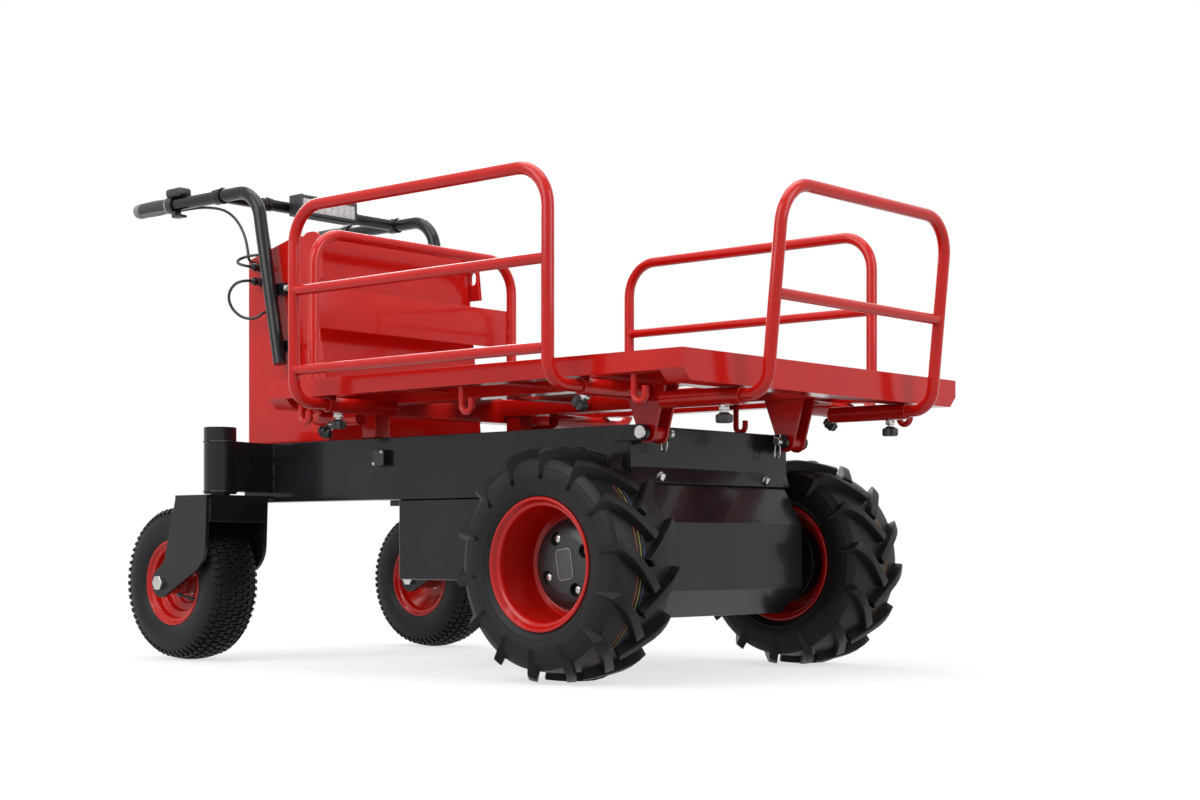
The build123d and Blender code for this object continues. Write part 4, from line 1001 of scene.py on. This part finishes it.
# Handlebars: bent black tube with a welded cross tube, a collar over each joint, and straps for the leads.
HANDLE_TUBE = 0.014
HANDLE_BEND = 0.07
HANDLE_FOOT = (0.4, 0.612)
HANDLE_LEAN = math.radians(11.9)
CROSS_TUBE = 0.013
CROSS_Y = 0.599
CROSS_WELD_IN = HANDLE_TUBE * 0.8
COLLAR = ((-0.012, 0.0142), (-0.012, 0.0172), (0.014, 0.0172), (0.014, 0.0142))
STRAP = ((-0.006, 0.0131), (-0.006, 0.015), (0.006, 0.015), (0.006, 0.0131))
STRAP_X = 0.122
low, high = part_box("handles")
handle_x, handle_z = high.x - HANDLE_TUBE, high.z - HANDLE_TUBE
bend_y = HANDLE_FOOT[0] + (handle_z - HANDLE_FOOT[1]) * math.tan(HANDLE_LEAN)
cross_ends = [(way * handle_x, CROSS_Y, handle_z) for way in (-1, 1)]
pieces = [bent_tube("cross_tube", cross_ends, (), CROSS_TUBE)]
for side in SIDES.values():
    tube_x = side * handle_x
    route = ((tube_x, *HANDLE_FOOT), (tube_x, bend_y, handle_z), (tube_x, high.y, handle_z))
    pieces += [
        bent_tube("handle", route, (HANDLE_BEND,), HANDLE_TUBE),
        weld_ring((side * (handle_x - CROSS_WELD_IN), CROSS_Y, handle_z), (1, 0, 0), CROSS_TUBE),
        turned("collar", COLLAR, (tube_x, CROSS_Y, handle_z), axis=(0, 1, 0), steps=36, rounding=0.0008),
        turned("strap", STRAP, (side * STRAP_X, CROSS_Y, handle_z), steps=32, rounding=0.0005),
    ]
finish_piece(join_pieces("handle_tubes", pieces), black_paint, "black_paint", "chassis", "handles")

# Grips: dark rubber with a pale moulded end and underside, each behind a white ring.
GRIP_LENGTH = 0.118
GRIP_UNDER = 0.0105
GRIP = (
    (0.0, 0.0142), (0.0, 0.0166), (0.008, 0.0166), (0.012, 0.0158), (0.045, 0.017), (0.08, 0.0164),
    (0.096, 0.0158), (0.096, 0.0142),
)
GRIP_CAP = ((0.096, 0.0), (0.096, 0.0163), (0.108, 0.0168), (0.116, 0.015), (0.118, 0.01), (0.118, 0.0))
GRIP_RING = ((-0.0035, 0.0142), (-0.0035, 0.0176), (-0.0005, 0.0176), (-0.0005, 0.0142))
PALE = (0.22, 0.22, 0.225)
PALE_DEEP = (0.17, 0.17, 0.175)
RING_WHITE = (0.72, 0.72, 0.71)
RING_DEEP = (0.62, 0.62, 0.61)
GRIP_DARK = (0.03, 0.03, 0.031)
GRIP_DEEP = (0.02, 0.02, 0.021)
pale_plastic = surface("pale_grip_plastic", PALE, PALE_DEEP, (0.28, 0.4), 600.0, 0.06)
white_plastic = surface("white_ring_plastic", RING_WHITE, RING_DEEP, (0.3, 0.42), 600.0, 0.04)
grip_rubber = surface("grip_rubber", GRIP_DARK, GRIP_DEEP, (0.55, 0.7), 900.0, 0.55)
tree = grip_rubber.node_tree
under = add_node(tree, "Math", {0: object_place(tree, "Z"), 1: handle_z - GRIP_UNDER}, "LESS_THAN")
paint_over(grip_rubber, under, PALE)
grips_low, grips_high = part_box("grips")
for label, profile, edge, material, slot, replaced in (
    ("sleeves", GRIP, 0.002, grip_rubber, "black_rubber", ("grips",)),
    ("caps", GRIP_CAP, 0.001, pale_plastic, "black_rubber", ()),
    ("rings", GRIP_RING, 0.0005, white_plastic, "black_plastic", ()),
):
    pieces = []
    for side in SIDES.values():
        start = (side * handle_x, grips_high.y - GRIP_LENGTH, handle_z)
        pieces.append(turned(label, profile, start, axis=(0, 1, 0), rounding=edge))
    finish_piece(join_pieces(f"grip_{label}", pieces), material, slot, "chassis", *replaced)

# Controls: a clamp with a thumb lever on each handle, and on the right one a domed display box with a
# dark window.
CLAMP = ((0.0, 0.0143), (0.0, 0.0196), (0.02, 0.0196), (0.02, 0.0143))
CLAMP_BACK = 0.024
LEVER_HALF = 0.01
LEVER_LENGTH = 0.026
LEVER_THICK = 0.006
LEVER_EDGE = 0.0028
LEVER_GAP = 0.001
DISPLAY_HALF = (0.017, 0.027)
DISPLAY_ROUNDING = 0.0075
WINDOW = (0.02, 0.03, 0.0016)
WINDOW_EDGE = 0.0005
WINDOW_SUNK = 0.6
GLASS = (0.01, 0.011, 0.013)
GLASS_DEEP = (0.008, 0.009, 0.01)
low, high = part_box("controls")
clamp_y = grips_low.y - CLAMP_BACK
display_y = clamp_y + CLAMP[2][0] - DISPLAY_HALF[1]
fittings = [filled("display", around(-handle_x, DISPLAY_HALF[0]), around(display_y, DISPLAY_HALF[1]),
                   (handle_z + HANDLE_TUBE, high.z), DISPLAY_ROUNDING, 5)]
for side in SIDES.values():
    lever_x = around(side * handle_x, LEVER_HALF)
    root_y, root_z = around(clamp_y, LEVER_THICK), (low.z, handle_z - HANDLE_TUBE - LEVER_GAP)
    lever_y, lever_z = (clamp_y - LEVER_LENGTH, clamp_y), (low.z, low.z + LEVER_THICK)
    place = (side * handle_x, clamp_y, handle_z)
    fittings += [turned("clamp", CLAMP, place, axis=(0, 1, 0), steps=44, rounding=0.002),
                 filled("lever_root", lever_x, root_y, root_z, LEVER_EDGE),
                 filled("lever", lever_x, lever_y, lever_z, LEVER_EDGE)]
finish_piece(join_pieces("control_fittings", fittings), black_plastic, "black_plastic", "chassis", "controls")
dark_glass = surface("dark_window", GLASS, GLASS_DEEP, (0.05, 0.09), 900.0, 0.0)
window_at = Vector((-handle_x, display_y, high.z - WINDOW[2] * WINDOW_SUNK))
window = block("display_window", *around(window_at, Vector(WINDOW) / 2), WINDOW_EDGE)
finish_piece(window, dark_glass, "black_plastic", "chassis")

# Work lamp: a black finned housing with a pale lens over two rows of reflectors. The spans of its parts
# are across the lamp, back from its face and up from its lower edge.
LAMP_HALF = 0.08
LAMP_DEPTH = 0.044
FIN_COUNT = 22
FIN_HALF = 0.0013
FIN_INSET = 0.004
END_THICK = 0.006
FOOT_SPAN = (0.04, 0.052)
FOOT_HALF = 0.006
LENS = (0.7, 0.71, 0.72)
LENS_DEEP = (0.6, 0.61, 0.63)
CELL = ((0.0, 0.0), (0.0, 0.0058), (0.0012, 0.0058), (0.0012, 0.0046), (0.0004, 0.0))
CELLS = (8, 2)
CELL_INSET = 0.016
CELL_PITCH = 0.0135
CELL_DEPTH = 0.0024
low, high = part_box("work_lamp")
lamp_deep, lamp_tall = high.y - low.y, high.z - low.z


def lamp_part(name, across, back, up, edge, segments=3):
    return filled(name, sorted(across), [low.y + place for place in back], [low.z + place for place in up],
                  edge, segments)


def spread(inset, count):
    """Even places along the lamp, from one end's inset to the other's."""
    half = LAMP_HALF - inset
    return [-half + 2 * half * index / (count - 1) for index in range(count)]


parts = [("housing", spread(0.002, 2), (0.003, 0.022), (0.005, lamp_tall - 0.005), 0.0025)]
for fin_x in spread(FIN_INSET, FIN_COUNT):
    parts.append(("fin", around(fin_x, FIN_HALF), (0.006, LAMP_DEPTH), (0, lamp_tall), 0.0006, 1))
for side in SIDES.values():
    end_x, foot_x = (side * (LAMP_HALF - END_THICK), side * LAMP_HALF), [side * place for place in FOOT_SPAN]
    parts.append(("end", end_x, (0, LAMP_DEPTH), (0, lamp_tall), 0.0025))
    parts.append(("foot", foot_x, (LAMP_DEPTH - 0.001, lamp_deep), around(lamp_tall / 2, FOOT_HALF), 0.001))
for bezel_z in ((0.003, 0.008), (lamp_tall - 0.008, lamp_tall - 0.003)):
    parts.append(("bezel", spread(FIN_INSET, 2), (0, 0.01), bezel_z, 0.001))
housing = join_pieces("lamp_housing", [lamp_part(*part) for part in parts])
finish_piece(housing, black_plastic, "black_plastic", "chassis", "work_lamp")
lens_plastic = surface("frosted_lens", LENS, LENS_DEEP, (0.12, 0.22), 500.0, 0.05)
lens = lamp_part("lamp_lens", spread(0.006, 2), (0.0022, 0.0042), (0.008, lamp_tall - 0.008), 0.0006)
finish_piece(lens, lens_plastic, "black_plastic", "chassis")
cells = []
for cell_x in spread(CELL_INSET, CELLS[0]):
    for row in range(CELLS[1]):
        place = (cell_x, low.y + CELL_DEPTH, low.z + lamp_tall / 2 + (row - 0.5) * CELL_PITCH)
        cells.append(turned("cell", CELL, place, axis=(0, -1, 0), steps=20))
finish_piece(join_pieces("lamp_reflectors", cells), bright_steel, "black_plastic", "chassis")

# Cables: thin black leads from the throttle to the console and round from the two glands.
CABLE = 0.003
THROTTLE = (
    (0, 0, 0), (0, -0.053, 0), (0.001, -0.103, -0.005), (0.002, -0.151, -0.016), (0, -0.193, -0.041),
    (-0.004, -0.225, -0.078), (-0.005, -0.237, -0.113), (-0.004, -0.238, -0.137), (0.014, -0.238, -0.137),
)
UPPER_LOOP = (
    (0, 0, 0), (-0.016, 0, 0), (-0.022, 0.017, 0.006), (-0.012, 0.028, 0.016), (0.004, 0.018, 0.024),
    (0.013, 0, 0.026), (0.016, -0.013, 0.025), (0.028, -0.013, 0.025),
)
LOWER_LOOP = (
    (0, 0, 0), (-0.018, 0, 0), (-0.032, 0.018, -0.009), (-0.034, 0.034, -0.032), (-0.026, 0.031, -0.059),
    (-0.012, 0.011, -0.079), (0.004, -0.013, -0.08), (0.014, -0.028, -0.064), (0.028, -0.028, -0.064),
)
THROTTLE_X = -0.236
THROTTLE_DROP = 0.011
GLAND = ((0.0, 0.0), (0.0, 0.0085), (0.01, 0.0085), (0.011, 0.007), (0.014, 0.007), (0.015, 0.0088),
         (0.022, 0.008), (0.0275, 0.005), (0.028, 0.0))
GLAND_TIP = (-0.25, 0.496)
GLAND_HEIGHTS = (0.792, 0.822)
SHEATH = (0.02, 0.02, 0.021)
SHEATH_DEEP = (0.013, 0.013, 0.014)
cable_rubber = surface("cable_sheath", SHEATH, SHEATH_DEEP, (0.34, 0.46), 700.0, 0.08)
leads = []
for start, steps in (
    ((THROTTLE_X, clamp_y, handle_z - THROTTLE_DROP), THROTTLE),
    ((*GLAND_TIP, GLAND_HEIGHTS[1]), UPPER_LOOP),
    ((*GLAND_TIP, GLAND_HEIGHTS[0]), LOWER_LOOP),
):
    line = bpy.data.curves.new("lead", "CURVE")
    line.dimensions = "3D"
    spline = line.splines.new("NURBS")
    spline.points.add(len(steps) - 1)
    for point, step in zip(spline.points, steps):
        point.co = (*(Vector(start) + Vector(step)), 1)
    spline.order_u = 3
    spline.use_endpoint_u = True
    spline.resolution_u = 10
    line.bevel_depth = CABLE
    line.bevel_resolution = 4
    line.use_fill_caps = True
    lead = bpy.data.objects.new("lead", line)
    scene.collection.objects.link(lead)
    select_only(lead)
    bpy.ops.object.convert(target="MESH")
    leads.append(bpy.context.object)
finish_piece(join_pieces("control_leads", leads), cable_rubber, "black_rubber", "chassis", "control_cables")
glands = []
for height in GLAND_HEIGHTS:
    foot = (GLAND_TIP[0] + GLAND[-1][0], GLAND_TIP[1], height)
    glands.append(turned("gland", GLAND, foot, axis=(-1, 0, 0), steps=24, rounding=0.0006))
finish_piece(join_pieces("gland_bodies", glands), black_plastic, "black_plastic", "chassis", "cable_glands")

# Dash: a plain black plate on the console's slope, held by four screws.
DASH_THICK = 0.003
DASH_EDGE = 0.001
DASH_SCREW = (0.007, 0.002)
SCREW_INSET = 0.016
SCREW_SUNK = 0.0004
finish_piece(softened("dash", DASH_EDGE), black_plastic, "black_plastic", "chassis", "dash")
low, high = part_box("dash")
fall = high.z - low.z - DASH_THICK
run = high.y - low.y
screws = []
for side in SIDES.values():
    for share in (SCREW_INSET / run, 1 - SCREW_INSET / run):
        place = (side * (high.x - SCREW_INSET), low.y + share * run, high.z - share * fall - SCREW_SUNK)
        screws.append(hex_bolt("dash_screw", place, (0, fall, run), *DASH_SCREW, washer=1.0))
finish_piece(join_pieces("dash_screws", screws), bright_steel, "steel", "chassis")
